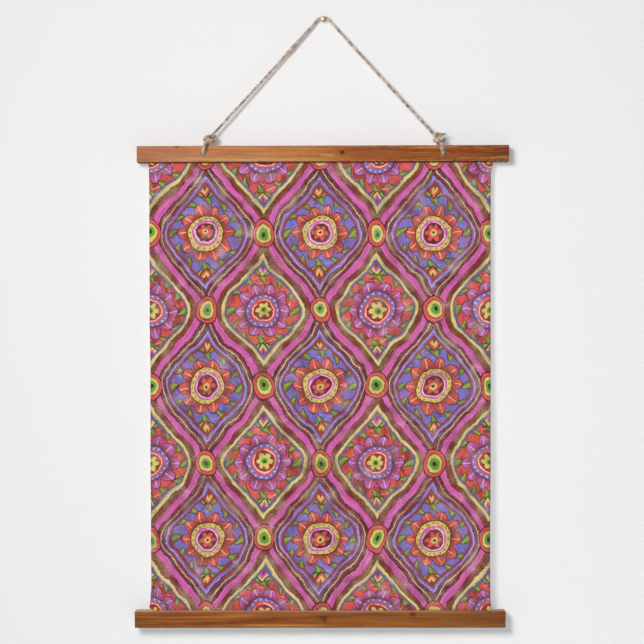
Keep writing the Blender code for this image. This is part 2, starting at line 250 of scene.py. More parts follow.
@dataclass(frozen=True)
class Effect:
    """An effect that several materials use: a node group with named inputs and numbers as outputs."""

    name: str
    vectors: tuple[str, ...]
    numbers: tuple[str, ...]
    wire: Callable[..., dict[str, Field]]

    def tree(self) -> bpy.types.NodeTree:
        """Return the group, built the first time that it is asked for."""
        tree = bpy.data.node_groups.get(self.name)
        if tree is not None:
            return tree
        tree = bpy.data.node_groups.new(self.name, "ShaderNodeTree")
        add_socket = tree.interface.new_socket
        for names, kind in ((self.vectors, "NodeSocketVector"), (self.numbers, "NodeSocketFloat")):
            for name in names:
                add_socket(name=name, in_out="INPUT", socket_type=kind)
        graph = Graph(tree)
        entry = graph.add("NodeGroupInput")
        given = [Field(graph, entry.outputs[name]) for name in self.vectors + self.numbers]
        made = self.wire(graph, *given)
        for name in made:
            add_socket(name=name, in_out="OUTPUT", socket_type="NodeSocketFloat")
        results = graph.add("NodeGroupOutput")
        for name, result in made.items():
            graph.feed(results.inputs[name], result)
        return tree


def wire_speckle(graph: Graph, vector: Field, amount: Field) -> dict[str, Field]:
    """Fine grains that gather in soft patches: chalk, dust, or dry paint over a rough ground."""
    patches = graph.noise(vector, 28.0)
    grains = graph.noise(vector, 620.0, 3.0, 0.7)
    level = grains + (patches - 0.5) * 0.7 + (amount - 0.5) * 0.5
    return {"Mask": graph.smooth(level, 0.52, 0.64)}


def wire_weave(graph: Graph, vector: Field, pitch: Field) -> dict[str, Field]:
    """A plain weave on coordinates in metres: its height, and the tint of single threads."""
    x, y, _ = graph.split(vector)
    across = x / pitch
    along = y / pitch
    warp_over = (across * math.pi).sine() * (along * math.pi + math.pi / 2).sine()
    height = (warp_over * 0.5 + 0.5) * 0.6
    slub_x = graph.noise(graph.combine(across * 0.9, along * 0.02), 1.0, 1.0)
    slub_y = graph.noise(graph.combine(across * 0.02, along * 0.9, 7.0), 1.0, 1.0)
    threads = (slub_x + slub_y) * 0.5
    return {"Height": height + graph.noise(vector, 260.0) * 0.25 + threads * 0.3, "Threads": threads}


def wire_wood(graph: Graph, vector: Field, pith: Field, spacing: Field, bend: Field) -> dict[str, Field]:
    """Softwood sawn along X: year rings round a pith, fine pores and a soft mottle.

    The bend shifts the rings, as the wood round a knot does.
    """
    slow = graph.noise(graph.vector("MULTIPLY", vector, (0.07, 1.0, 1.0)), 22.0)
    _, y, z = graph.split(graph.vector("SUBTRACT", vector, pith))
    radius = graph.reach(y, z) + (slow - 0.5) * 0.016 + bend
    spread = graph.noise(graph.combine(radius, 0.0), 90.0, 1.0)
    rings = graph.calc("FRACT", radius / spacing + spread * 1.4)
    return {
        "Late Wood": graph.smooth(rings, 0.25, 0.92) * graph.smooth(rings, 1.0, 0.93),
        "Streaks": graph.stretched(vector, (9.0, 700.0, 700.0), 3.0, 0.6),
        "Pores": graph.smooth(graph.stretched(vector, (55.0, 1900.0, 1900.0), 1.0), 0.6, 0.75),
        "Mottle": graph.stretched(vector, (7.0, 60.0, 60.0), 3.0, 0.6),
    }


SPECKLE = Effect("speckle", ("Vector",), ("Amount",), wire_speckle)
WEAVE = Effect("weave", ("Vector",), ("Pitch",), wire_weave)
WOOD = Effect("sawn_softwood", ("Vector", "Pith"), ("Ring Spacing", "Bend"), wire_wood)


class Canvas(Graph):
    """A material that is painted in layers on its own shader."""

    def __init__(self, material: bpy.types.Material) -> None:
        """Start on a new material with a plain ground."""
        super().__init__(material.node_tree)
        self.shader = material.node_tree.nodes["Principled BSDF"]
        self.colour: object = WHITE

    def coordinates(self, kind: str) -> Field:
        """Return the point's place on its object (Object) or on its surface (UV)."""
        return self.read("ShaderNodeTexCoord", output=kind)

    def lay(self, mask: Term, colour: object) -> None:
        """Lay a colour over the canvas where the mask is 1."""
        self.colour = self.mix(mask, self.colour, colour)

    def stain(self, value: Field, low: float, high: float, share: Term, colour: object) -> None:
        """Lay a share of a colour where a value has passed from low to high."""
        self.lay(self.smooth(value, low, high) * share, colour)

    def inside(self, value: Field, limit: Term, blur: float, colour: object, share: Term = 1.0) -> None:
        """Lay a share of a colour where a value is under a limit, with an edge as wide as the blur."""
        mask = self.below(value, limit, blur)
        self.lay(mask if share == 1.0 else mask * share, colour)

    def coat(self, **sockets: object) -> None:
        """Feed or set the shader's sockets, named with _ for each space."""
        for name, value in sockets.items():
            self.feed(self.shader.inputs[name.replace("_", " ")], value)

    def bump(self, height: Field, distance: float, strength: float) -> None:
        """Let a height from 0 to 1 stand out by a distance in metres, more or less strongly."""
        node = self.add("ShaderNodeBump")
        for name, value in (("Distance", distance), ("Strength", strength), ("Height", height)):
            self.feed(node.inputs[name], value)
        self.coat(Normal=node.outputs["Normal"])

    def clear_where(self, share: Field) -> None:
        """Mix a clear shader into the material by a share from 0, the finish alone, to 1, clear."""
        clear = self.add("ShaderNodeBsdfTransparent").outputs[0]
        mixed = self.add("ShaderNodeMixShader", share, self.shader.outputs[0], clear)
        self.feed(self.tree.nodes["Material Output"].inputs["Surface"], mixed.outputs[0])


class Finish:
    """A finish with one material, made the first time that it is asked for."""

    name: str

    def material(self) -> bpy.types.Material:
        """Return the material of this finish."""
        made = bpy.data.materials.get(self.name)
        if made is None:
            made = bpy.data.materials.new(self.name)
            made.use_nodes = True
            canvas = Canvas(made)
            self.dress(canvas)
            canvas.coat(Base_Color=canvas.colour)
        return made

    def dress(self, canvas: Canvas) -> None:
        """Paint the canvas and set its shader."""
        raise NotImplementedError


class Knot(NamedTuple):
    """A knot in the wood: its middle, its half sizes, how far it pushes the rings, and its darkness."""

    x: float
    z: float
    half_length: float
    half_height: float
    push: float
    darkness: float


class Sweep(NamedTuple):
    """A soft streak of grain from one place on the front face to another."""

    x_from: float
    z_from: float
    x_to: float
    z_to: float
    half_height: float
    share: float
    colour: Colour


@dataclass(frozen=True)
class BarWood(Finish):
    """Oiled softwood whose tone changes along the bar."""

    name: str
    middle_z: float
    tilt: float
    tones: tuple[tuple[float, Colour], ...]
    knots: tuple[Knot, ...]
    sweeps: tuple[Sweep, ...]
    pith: Triple
    ring_spacing: float
    late_colour: Colour
    late_share: float
    gold: Colour
    red: Colour
    worn_colour: Colour
    worn_share: float
    holes: tuple[tuple[float, float], ...] = ()
    hole_rub: tuple[float, float] = (0.0056, 0.0046)
    half_length: float = 0.36
    half_height: float = 1.25 * INCH / 2
    knot_heart: Colour = shade(74, 30, 16)
    oil_and_painted_shade: Colour = shade(58, 28, 16)
    top_dust_and_painted_light: Colour = shade(206, 160, 140)
    bare_wood: Colour = shade(206, 168, 126)

    def knot_share(self, canvas: Canvas, x: Field, z: Field, knot: Knot) -> Field:
        """Return how near a point is to a knot, from 0 far away to 1 at its middle."""
        away_x = (x - knot.x) / knot.half_length
        away_z = (z - knot.z) / knot.half_height
        return canvas.calc("EXPONENT", (away_x * away_x + away_z * away_z) * -1.0)

    def sweep_share(self, canvas: Canvas, x: Field, z: Field, sweep: Sweep) -> Field:
        """Return how near a point is to a sweep's line, which fades out towards both ends."""
        length = sweep.x_to - sweep.x_from
        line = (x - sweep.x_from) * ((sweep.z_to - sweep.z_from) / length) + sweep.z_from
        away = (z - line) / sweep.half_height
        soft = length * 0.3
        start = canvas.smooth(x, sweep.x_from, sweep.x_from + soft)
        finish = canvas.smooth(x, sweep.x_to, sweep.x_to - soft)
        return canvas.calc("EXPONENT", away * away * -1.0) * start * finish

    def figure(self, canvas: Canvas, place: Field) -> dict[str, Field]:
        """Paint the wood's tones, patches, sweeps, rings and knots, and return the sawn wood's fields."""
        x, _, z = canvas.split(place)
        loose = canvas.stretched(place, (18.0, 60.0, 60.0)) - 0.5
        z = z + loose * 0.0045
        shares = [(knot, self.knot_share(canvas, x + loose * 0.003, z, knot)) for knot in self.knots]
        bend: Term = 0.0
        for knot, share in shares:
            bend = share * knot.push + bend
        given = {"Vector": place, "Pith": self.pith, "Ring Spacing": self.ring_spacing, "Bend": bend}
        wood = canvas.place(WOOD, **given)
        drift = (canvas.noise(place, 9.0) - 0.5) * 0.12
        canvas.colour = canvas.ramp((x / self.half_length + 1.0) * 0.5 + drift, self.tones)
        bands = canvas.stretched(place, (7.0, 150.0, 150.0), 3.0, 0.6)
        canvas.stain(bands, 0.50, 0.66, 0.60, self.gold)
        canvas.stain(bands, 0.50, 0.34, 0.55, self.red)
        for sweep in self.sweeps:
            canvas.lay(self.sweep_share(canvas, x, z, sweep) * sweep.share, sweep.colour)
        canvas.stain(wood["Mottle"], 0.34, 0.62, wood["Late Wood"] * self.late_share, self.late_colour)
        canvas.stain(wood["Streaks"], 0.50, 0.72, 0.38, self.late_colour)
        canvas.stain(wood["Streaks"], 0.46, 0.28, 0.30, self.gold)
        canvas.lay(wood["Pores"] * 0.45, self.oil_and_painted_shade)
        grit = canvas.stretched(place, (280.0, 620.0, 620.0), 2.0, 0.6)
        canvas.stain(grit, 0.52, 0.74, 0.30, self.late_colour)
        canvas.stain(grit, 0.46, 0.28, 0.12, self.worn_colour)
        for knot, share in shares:
            canvas.stain(share, 0.04, 0.50, knot.darkness * 0.60, self.late_colour)
            canvas.stain(share, 0.25, 0.85, knot.darkness, self.knot_heart)
        return wood

    def wear_and_painted_shading(self, canvas: Canvas, place: Field) -> None:
        """Rub the long edges pale, darken oil along the upper edge, paint shade along the lower edge, paint
        light and dust on faces that look up, and bare the holes.
        """
        x, _, z = canvas.split(place)
        height = z - self.middle_z - x * math.tan(self.tilt)
        edge = self.half_height
        rub = canvas.smooth(canvas.noise(place, 140.0, 3.0), 0.32, 0.62)
        canvas.stain(height.size(), edge - 0.0058, edge - 0.0020, rub * self.worn_share, self.worn_colour)
        # Painted shade: a dark band along the lower edge, where the rounded underside faces away from the
        # light.
        canvas.stain(height, 0.0019 - edge, 0.0003 - edge, 0.80, self.oil_and_painted_shade)
        canvas.stain(height, edge - 0.0024, edge - 0.0008, rub * 0.35, self.oil_and_painted_shade)
        # Painted light with some dust: faces that look up are lightened as if lit from above, less near the
        # right end.
        upward = canvas.split(canvas.read("ShaderNodeNewGeometry", output="Normal"))[2]
        canvas.stain(upward, 0.35, 0.8, canvas.smooth(x, 0.32, 0.16) * 0.55 + 0.25, self.top_dust_and_painted_light)
        for hole_x, hole_z in self.holes:
            canvas.stain(canvas.reach(x - hole_x, z - hole_z), *self.hole_rub, 0.7, self.bare_wood)

    def dress(self, canvas: Canvas) -> None:
        """Lay rings, knots, pores, worn edges, painted shade on the lower edge and painted light on the top
        faces over the bar's tones.
        """
        place = canvas.coordinates("Object")
        wood = self.figure(canvas, place)
        self.wear_and_painted_shading(canvas, place)
        late = wood["Late Wood"]
        canvas.coat(Roughness=late * -0.10 + wood["Mottle"] * 0.16 + 0.55, Specular_IOR_Level=0.12)
        canvas.bump(late * 0.5 - wood["Pores"] * 0.6 + wood["Streaks"] * 0.3, 0.00025, 0.6)


@dataclass(frozen=True)
class Jute(Finish):
    """Rough jute: pale and dark fibres along each strand, and painted shade in the valleys between the
    strands.

    The mesh's own attribute tells how far out from the rope's middle a point lies.
    """

    name: str = "jute_strands"
    pale: Colour = shade(246, 226, 212)
    light: Colour = shade(218, 197, 180)
    middle: Colour = shade(172, 151, 132)
    dark: Colour = shade(110, 89, 70)
    painted_valley_shade_and_dark_fibre: Colour = shade(74, 50, 34)

    def dress(self, canvas: Canvas) -> None:
        """Streak the strands along their own length and paint shade into the valleys."""
        place = canvas.coordinates("Object")
        crown = canvas.read("ShaderNodeAttribute", output="Fac", attribute_name=CROWN)
        along, around, _ = canvas.split(canvas.coordinates("UV"))
        fibres = canvas.noise(canvas.combine(along * 60.0, around * 7.0 + along * 40.0), 2.2, 3.0, 0.65)
        fuzz = canvas.noise(place, 2600.0, 2.0, 0.7)
        stops = ((0.32, self.dark), (0.44, self.middle), (0.55, self.light), (0.68, self.pale))
        canvas.colour = canvas.ramp(fibres * 0.45 + canvas.noise(place, 120.0) * 0.55, stops)
        canvas.stain(fuzz, 0.58, 0.75, 0.35, self.pale)
        canvas.stain(canvas.noise(place, 62.0, 1.0), 0.54, 0.70, 0.55, self.dark)
        # Painted shade: darken where the crown attribute is low, in the valleys between strands; fibres
        # given a low tone take the same dark colour.
        canvas.stain(crown + (fibres - 0.5) * 0.22, 0.82, 0.52, 0.80, self.painted_valley_shade_and_dark_fibre)
        canvas.coat(Roughness=0.95, Specular_IOR_Level=0.12, Sheen_Weight=0.15)
        canvas.bump(fibres + fuzz * 0.4, 0.0004, 0.8)


@dataclass(frozen=True)
class Brass(Finish):
    """Polished brass, with painted shade darkening the head towards its rim, most at the lower right."""

    name: str = "nail_brass"
    bright: Colour = shade(222, 196, 168)
    painted_rim_shade: Colour = shade(72, 48, 30)
    rim_radius: float = 0.0055

    def dress(self, canvas: Canvas) -> None:
        """Paint shade on the brass away from the nail's axis, most at the lower right, and scratch it
        lightly.
        """
        place = canvas.coordinates("Object")
        x, _, z = canvas.split(place)
        grime_and_shade_jitter = canvas.noise(place, 700.0, 3.0)
        # Painted shade: dark reflections towards the head's rim, pushed to the lower right by the (x - z)
        # term.
        away = canvas.reach(x, z) / self.rim_radius + (x - z) * 40.0 + (grime_and_shade_jitter - 0.5) * 0.3
        canvas.colour = canvas.mix(canvas.smooth(away, 0.58, 0.88), self.bright, self.painted_rim_shade)
        scratches = canvas.stretched(place, (900.0, 900.0, 9000.0))
        canvas.coat(Roughness=scratches * 0.18 + grime_and_shade_jitter * 0.12 + 0.50, Metallic=1.0)
        canvas.bump(scratches, 0.00002, 0.5)


class Paint(NamedTuple):
    """The printed cloth's paints, named for what they look like."""

    lavender: Colour = shade(120, 108, 190)
    slate: Colour = shade(84, 86, 138)
    lilac: Colour = shade(168, 108, 178)
    magenta: Colour = shade(202, 78, 164)
    pale_pink: Colour = shade(214, 134, 172)
    coral: Colour = shade(214, 78, 72)
    orange: Colour = shade(208, 100, 60)
    brick: Colour = shade(140, 42, 38)
    maroon: Colour = shade(78, 24, 30)
    yellow: Colour = shade(216, 198, 104)
    green: Colour = shade(98, 158, 48)
    olive: Colour = shade(120, 122, 56)
    deep_green: Colour = shade(24, 38, 22)
    tan: Colour = shade(160, 132, 104)
    ink: Colour = shade(32, 18, 24)
    chalk: Colour = shade(232, 208, 202)


class Spot(NamedTuple):
    """Where a point of the print lies: on the cloth, off the trellis, and in its oval.

    The place on the cloth is from its middle. Off the trellis is the signed distance from its middle
    line. Even is 1 in every other oval and 0 in the rest. The rest is from the middle of the oval.
    """

    cloth_x: Field
    cloth_y: Field
    side: Field
    even: Field
    x: Field
    y: Field
    radius: Field
    angle: Field


@dataclass(frozen=True)
class ClothPrint(Finish):
    """A generic hand-painted trellis print on cotton canvas.

    Pointed ovals stand in staggered rows between the nested bands of an ogee trellis. Each holds a
    rosette with rings of petals, a ring of leaves round it, and a bud at its upper and lower tip.
    """

    name: str = "cloth_print"
    width: float = 0.66
    length: float = 0.882
    pitch_x: float = 0.22
    pitch_y: float = 0.294
    swing: float = 0.205
    thread_pitch: float = 0.0006
    blur: float = 0.0013
    line_blur: float = 0.0007
    leaves: int = 12
    leaf_ring_radius: float = 0.0655
    dots: int = 18
    dot_ring_radius: float = 0.0296
    paint: Paint = Paint()

    def surface(self, canvas: Canvas) -> tuple[Field, Field]:
        """Return the place on the cut cloth in metres, from its corner and from its middle."""
        metres = canvas.vector("MULTIPLY", canvas.coordinates("UV"), (self.width, self.length, 0.0))
        return metres, canvas.vector("SUBTRACT", metres, (self.width / 2, self.length / 2, 0.0))

    def spot(self, canvas: Canvas, place: Field) -> Spot:
        """Return where a place on the cloth lies in the print."""
        x, y, _ = canvas.split(place)
        column = x / self.pitch_x
        row = y / self.pitch_y
        angle = row * TURN
        fold = canvas.calc("PINGPONG", column, 0.5)
        curve = angle.cosine() * self.swing + 0.25
        slope = angle.sine() * (self.swing * TURN * self.pitch_x / self.pitch_y)
        side = (fold - curve) * self.pitch_x / canvas.calc("SQRT", slope * slope + 1.0)
        even = canvas.calc("LESS_THAN", side, 0.0)
        shift = (1.0 - even) * 0.5
        local_x = canvas.calc("WRAP", column + shift, 0.5, -0.5) * self.pitch_x
        local_y = canvas.calc("WRAP", row + shift, 0.5, -0.5) * self.pitch_y
        turned = canvas.calc("ARCTAN2", local_y, local_x)
        return Spot(x, y, side, even, local_x, local_y, canvas.reach(local_x, local_y), turned)

    def ground(self, canvas: Canvas, place: Field, even: Field) -> Field:
        """Return the ground: brushed lavender in every other oval, and brushed coral in the rest."""
        paint = self.paint
        patch = canvas.noise(canvas.vector("MULTIPLY", place, (1.0, 0.4, 1.0)), 46.0, 3.0, 0.6)
        wash = canvas.noise(place, 19.0)
        cool = canvas.mix(canvas.smooth(patch, 0.50, 0.66), paint.lavender, paint.slate)
        cool = canvas.mix(canvas.smooth(wash, 0.55, 0.66) * 0.7, cool, paint.lilac)
        warm = canvas.mix(canvas.smooth(patch, 0.46, 0.62), paint.coral, paint.brick)
        warm = canvas.mix(canvas.smooth(wash, 0.54, 0.64) * 0.7, warm, paint.orange)
        return canvas.mix(even, warm, cool)

    def chalk_arcs(self, canvas: Canvas, spot: Spot) -> None:
        """Draw broken chalk arcs on the ground round the rosette."""
        breaks = canvas.smooth(canvas.strokes(spot.radius, spot.angle * 2.2, 150.0), 0.53, 0.60)
        gap = canvas.calc("PINGPONG", spot.radius, 0.0045)
        canvas.inside(gap, 0.0006, 0.0008, self.paint.chalk, breaks * (spot.even * -0.45 + 0.85))

    def leaf(
        self, canvas: Canvas, outward: Field, aside: Field, slant: float, reach: float, breadth: float
    ) -> None:
        """Lay one pointed leaf with a vein.

        Args:
            canvas: What the leaf is laid on.
            outward: The distance from the leaf's middle along its rib before it is turned.
            aside: The distance to the side of it.
            slant: The turn in degrees.
            reach: Half the leaf's length.
            breadth: Half its breadth.
        """
        turn = math.radians(slant)
        along = outward * math.cos(turn) + aside * math.sin(turn)
        across = aside * math.cos(turn) - outward * math.sin(turn)
        share = along / reach
        level = across.size() / breadth + share * share
        green = canvas.mix(canvas.smooth(across, -0.0016, 0.0016), self.paint.green, self.paint.olive)
        canvas.inside(level, 1.28, 0.2, self.paint.deep_green)
        canvas.inside(level, 1.0, 0.2, green)
        on_leaf = canvas.below(level, 0.85, 0.2) * 0.8
        canvas.inside(across.size(), 0.0005, self.line_blur, self.paint.yellow, on_leaf)

    def leaf_ring(self, canvas: Canvas, spot: Spot) -> None:
        """Lay a ring of slanted leaves round the rosette."""
        half = math.pi / self.leaves
        aside = canvas.calc("WRAP", spot.angle, half, -half) * self.leaf_ring_radius
        self.leaf(canvas, spot.radius - self.leaf_ring_radius, aside, 36, 0.0150, 0.0058)

    def rosette(self, canvas: Canvas, spot: Spot) -> None:
        """Lay the rosette's petals, its ring of dots and its heart."""
        paint = self.paint
        blur = self.blur
        even = spot.even
        radius = spot.radius
        streak = canvas.strokes(radius, spot.angle * 1.6)
        petal_edge = (spot.angle * 5.0).cosine().size() * 0.0140 + 0.0395
        canvas.inside(radius, petal_edge + 0.0024, blur, paint.ink, 0.85)
        brushed = canvas.smooth(streak, 0.42, 0.62)
        warm = canvas.mix(brushed, paint.coral, paint.orange)
        cool = canvas.mix(brushed, paint.lilac, paint.magenta)
        petals = canvas.mix(even, cool, warm)
        petals = canvas.mix(canvas.smooth(radius, 0.047, 0.035) * 0.9, petals, paint.brick)
        canvas.inside(radius, petal_edge, blur, petals)
        rib = (spot.angle * 5.0).sine().size() * radius / 5.0
        on_petal = canvas.below((radius - 0.0440).size(), 0.0070, blur) * 0.85
        canvas.inside(rib, 0.0007, self.line_blur, paint.chalk, on_petal)
        canvas.inside(radius, 0.0345, blur, paint.ink)
        ring = canvas.mix(even, paint.lavender, paint.yellow)
        canvas.inside(radius, 0.0330, blur, ring, canvas.smooth(streak, 0.30, 0.46) * 0.55 + 0.45)
        aside = canvas.calc("WRAP", spot.angle, math.pi / self.dots, -math.pi / self.dots)
        to_dot = canvas.reach(aside * self.dot_ring_radius, radius - self.dot_ring_radius)
        canvas.inside(to_dot, 0.0016, 0.0010, canvas.mix(even, paint.chalk, paint.brick), 0.9)
        inner = canvas.mix(canvas.smooth(streak, 0.44, 0.64), paint.magenta, paint.pale_pink)
        canvas.inside(radius, 0.0262, blur, canvas.mix(even, paint.coral, inner))
        broken = canvas.smooth(streak, 0.36, 0.5)
        canvas.inside((radius - 0.0212).size(), 0.0009, 0.0008, paint.chalk, broken)
        heart_edge = (spot.angle * 3.0).cosine().size() * 0.0078 + 0.0085
        for limit, at_odd, at_even in (
            (0.0195, paint.brick, paint.maroon),
            (heart_edge, paint.yellow, paint.coral),
            (0.0062, paint.green, paint.yellow),
        ):
            canvas.inside(radius, limit, blur, canvas.mix(even, at_odd, at_even))
        canvas.inside(radius, 0.0028, blur, paint.ink)

    def buds(self, canvas: Canvas, spot: Spot) -> None:
        """Lay a bud between two leaves towards the oval's upper tip and another towards its lower one."""
        paint = self.paint
        aside = spot.x.size()
        outward = spot.y.size() - 0.0900
        self.leaf(canvas, outward + 0.010, aside - 0.0170, 42, 0.0170, 0.0062)
        share = outward / 0.0230
        level = aside / 0.0120 + share * share
        canvas.inside(level, 1.26, 0.16, paint.ink)
        canvas.inside(level, 1.0, 0.16, canvas.mix(spot.even, paint.yellow, paint.coral))
        canvas.inside(level, 0.62, 0.16, canvas.mix(spot.even, paint.magenta, paint.yellow))
        canvas.inside(level, 0.28, 0.14, paint.brick)

    def trellis(self, canvas: Canvas, spot: Spot, steady: Field) -> None:
        """Lay the trellis's nested bands, speckled by the steady place on the cloth."""
        paint = self.paint
        blur = self.blur
        side = spot.side
        away = side.size()
        streak = canvas.strokes(side, spot.cloth_y * 16.0, 300.0)
        broken = canvas.smooth(streak, 0.34, 0.50)
        rim = canvas.mix(spot.even, paint.slate, paint.brick)
        canvas.inside(away, 0.0300, blur, rim, broken * 0.4 + 0.6)
        outer = canvas.mix(spot.even, paint.yellow, paint.lavender)
        canvas.inside(away, 0.0250, blur, outer, broken * 0.6 + 0.4)
        canvas.inside(away, 0.0190, blur, paint.ink, 0.85)
        bed = canvas.mix(canvas.smooth(streak, 0.40, 0.62), paint.brick, paint.maroon)
        speckle = canvas.place(SPECKLE, Vector=steady, Amount=0.56)
        canvas.inside(away, 0.0176, blur, canvas.mix(speckle["Mask"] * 0.75, bed, paint.tan))
        pink = canvas.mix(canvas.smooth(streak, 0.44, 0.66) * 0.7, paint.magenta, paint.pale_pink)
        canvas.inside((side - 0.0020).size(), 0.0056, blur, pink)
        canvas.inside((side + 0.0048).size(), 0.0014, blur, paint.ink, 0.85)
        canvas.inside((side + 0.0112).size(), 0.0008, self.line_blur, paint.chalk, broken * 0.9)
        canvas.inside((away - 0.0212).size(), 0.0006, self.line_blur, paint.chalk, broken * 0.7)

    def crossing(self, canvas: Canvas, spot: Spot) -> None:
        """Lay a small roundel where the trellis's bands meet."""
        paint = self.paint
        columns = (spot.cloth_x * (TURN / self.pitch_x)).cosine()
        rows = (spot.cloth_y * (TURN / self.pitch_y)).cosine()
        away = canvas.calc("SQRT", (columns * rows + 1.0) * 2.0) * (self.pitch_x / TURN)
        for limit, colour in (
            (0.0205, paint.ink),
            (0.0186, paint.coral),
            (0.0142, paint.maroon),
            (0.0128, paint.yellow),
            (0.0085, paint.green),
            (0.0036, paint.ink),
        ):
            canvas.inside(away, limit, self.blur, colour)

    def dress(self, canvas: Canvas) -> None:
        """Paint the print in layers on the cloth's own cut, then weave it."""
        paint = self.paint
        metres, centred = self.surface(canvas)
        place = centred
        for scale, reach in ((17.0, 0.020), (110.0, 0.0042), (520.0, 0.0026)):
            place = canvas.wander(place, scale, reach)
        spot = self.spot(canvas, place)
        canvas.colour = self.ground(canvas, place, spot.even)
        self.chalk_arcs(canvas, spot)
        self.leaf_ring(canvas, spot)
        self.buds(canvas, spot)
        self.rosette(canvas, spot)
        self.trellis(canvas, spot, centred)
        self.crossing(canvas, spot)
        for offset, amount, share, colour in (
            ((0.37, 0.21, 0.0), 0.50, 0.55, paint.maroon),
            ((0.0, 0.0, 0.0), 0.42, 0.38, paint.tan),
            ((0.11, 0.83, 0.0), 0.34, 0.48, paint.chalk),
        ):
            moved = canvas.vector("ADD", centred, offset)
            canvas.lay(canvas.place(SPECKLE, Vector=moved, Amount=amount)["Mask"] * share, colour)
        weave = canvas.place(WEAVE, Vector=metres, Pitch=self.thread_pitch)
        canvas.stain(weave["Threads"], 0.3, 0.75, 0.07, paint.chalk)
        canvas.coat(Roughness=weave["Threads"] * 0.12 + 0.82, Specular_IOR_Level=0.15, Sheen_Weight=0.05)
        canvas.bump(weave["Height"], 0.00012, 0.6)


@dataclass(frozen=True)
class ClothReverse(Finish):
    """The unprinted reverse of the canvas, through which the print just shows."""

    print: ClothPrint
    name: str = "cloth_reverse"
    cotton: Colour = shade(226, 218, 206)
    thread: Colour = shade(242, 237, 228)
    warm_seep: Colour = shade(206, 162, 156)
    cool_seep: Colour = shade(188, 178, 204)
    dark_seep: Colour = shade(164, 132, 140)

    def dress(self, canvas: Canvas) -> None:
        """Weave pale canvas, through which the print's main forms seep faintly."""
        metres, centred = self.print.surface(canvas)
        spot = self.print.spot(canvas, canvas.wander(canvas.wander(centred, 17.0, 0.020), 110.0, 0.0060))
        soak = canvas.smooth(canvas.noise(metres, 30.0, 3.0), 0.30, 0.70) * 0.5 + 0.5
        flower = canvas.mix(spot.even, self.cool_seep, self.warm_seep)
        canvas.colour = self.cotton
        canvas.lay(soak * 0.30, canvas.mix(spot.even, self.warm_seep, self.cool_seep))
        canvas.inside(spot.radius, 0.045, 0.010, flower, soak * 0.25)
        canvas.inside(spot.radius, 0.018, 0.006, self.dark_seep, soak * 0.25)
        canvas.inside(spot.side.size(), 0.018, 0.006, self.dark_seep, soak * 0.32)
        weave = canvas.place(WEAVE, Vector=metres, Pitch=self.print.thread_pitch)
        canvas.stain(weave["Threads"], 0.3, 0.75, 0.3, self.thread)
        canvas.coat(Roughness=0.9, Specular_IOR_Level=0.15)
        canvas.bump(weave["Height"], 0.00012, 0.7)


@dataclass(frozen=True)
class WallPaint(Finish):
    """Matt white paint, clear from behind and to the light that reaches the hanging's back.

    The back views look through it, and find the cloth's reverse lit.
    """

    name: str = "wall_paint"
    colour: Colour = (0.80, 0.80, 0.80, 1.0)
    glow: float = 0.221
    glow_colour: Colour = (0.838, 0.921, 1.0, 1.0)

    def dress(self, canvas: Canvas) -> None:
        """Mix the paint with a clear shader by the side that is seen."""
        canvas.colour = self.colour
        canvas.coat(Roughness=0.95, Specular_IOR_Level=0.0)
        canvas.coat(Emission_Color=self.glow_colour, Emission_Strength=self.glow)
        unseen = 1.0 - canvas.read("ShaderNodeLightPath", output="Is Camera Ray")
        bounces = canvas.read("ShaderNodeLightPath", output="Diffuse Depth")
        direct = canvas.calc("LESS_THAN", bounces, 0.5)
        side = canvas.read("ShaderNodeNewGeometry", output="Backfacing")
        canvas.clear_where(canvas.calc("MAXIMUM", side, unseen * direct))


@dataclass(frozen=True)
class FloorPaint(Finish):
    """A plain pale floor, clear from below, which looks bright and lights the hanging only faintly."""

    name: str = "floor_paint"
    colour: Colour = (0.80, 0.80, 0.79, 1.0)
    glow: float = 0.10
    seen_glow: float = 0.34

    def dress(self, canvas: Canvas) -> None:
        """Set a plain matt colour with a glow that is stronger where it is looked at."""
        canvas.colour = self.colour
        seen = canvas.read("ShaderNodeLightPath", output="Is Camera Ray")
        glow = seen * (self.seen_glow - self.glow) + self.glow
        canvas.coat(Roughness=0.9, Emission_Color=WHITE, Emission_Strength=glow)
        canvas.clear_where(canvas.read("ShaderNodeNewGeometry", output="Backfacing"))


def to_mesh(shape: bmesh.types.BMesh, name: str) -> bpy.types.Mesh:
    """Turn a bmesh into a mesh, and free it."""
    mesh = bpy.data.meshes.new(name)
    shape.to_mesh(mesh)
    shape.free()
    return mesh


def shell_mesh(shape: bmesh.types.BMesh, name: str, smooth_angle: float = 0.0) -> bpy.types.Mesh:
    """Turn a bmesh into a mesh with its faces pointing out, shaded smooth up to an angle."""
    bmesh.ops.recalc_face_normals(shape, faces=shape.faces)
    mesh = to_mesh(shape, name)
    if smooth_angle > 0.0:
        smooth_up_to(mesh, smooth_angle)
    return mesh


def smooth_up_to(mesh: bpy.types.Mesh, angle: float) -> None:
    """Shade a mesh smooth, but for the edges whose faces meet at more than an angle."""
    mesh.shade_smooth()
    mesh.set_sharp_from_angle(angle=angle)


def spun(profile: Sequence[tuple[float, float]], steps: int) -> bmesh.types.BMesh:
    """Turn a profile about the Y axis.

    Args:
        profile: Its points, each a radius and a place along Y.
        steps: How many steps the turn has.

    Returns:
        The closed shape.
    """
    shape = bmesh.new()
    verts = [shape.verts.new((radius, y, 0.0)) for radius, y in profile]
    edges = [shape.edges.new(pair) for pair in zip(verts, verts[1:])]
    axis = {"cent": (0, 0, 0), "axis": (0, 1, 0), "angle": TURN}
    bmesh.ops.spin(shape, geom=verts + edges, steps=steps, use_merge=True, **axis)
    bmesh.ops.remove_doubles(shape, verts=shape.verts, dist=WELD)
    return shape


def link_object(name: str, data: bpy.types.ID) -> bpy.types.Object:
    """Link new data into the scene under a name."""
    made = bpy.data.objects.new(name, data)
    bpy.context.scene.collection.objects.link(made)
    return made


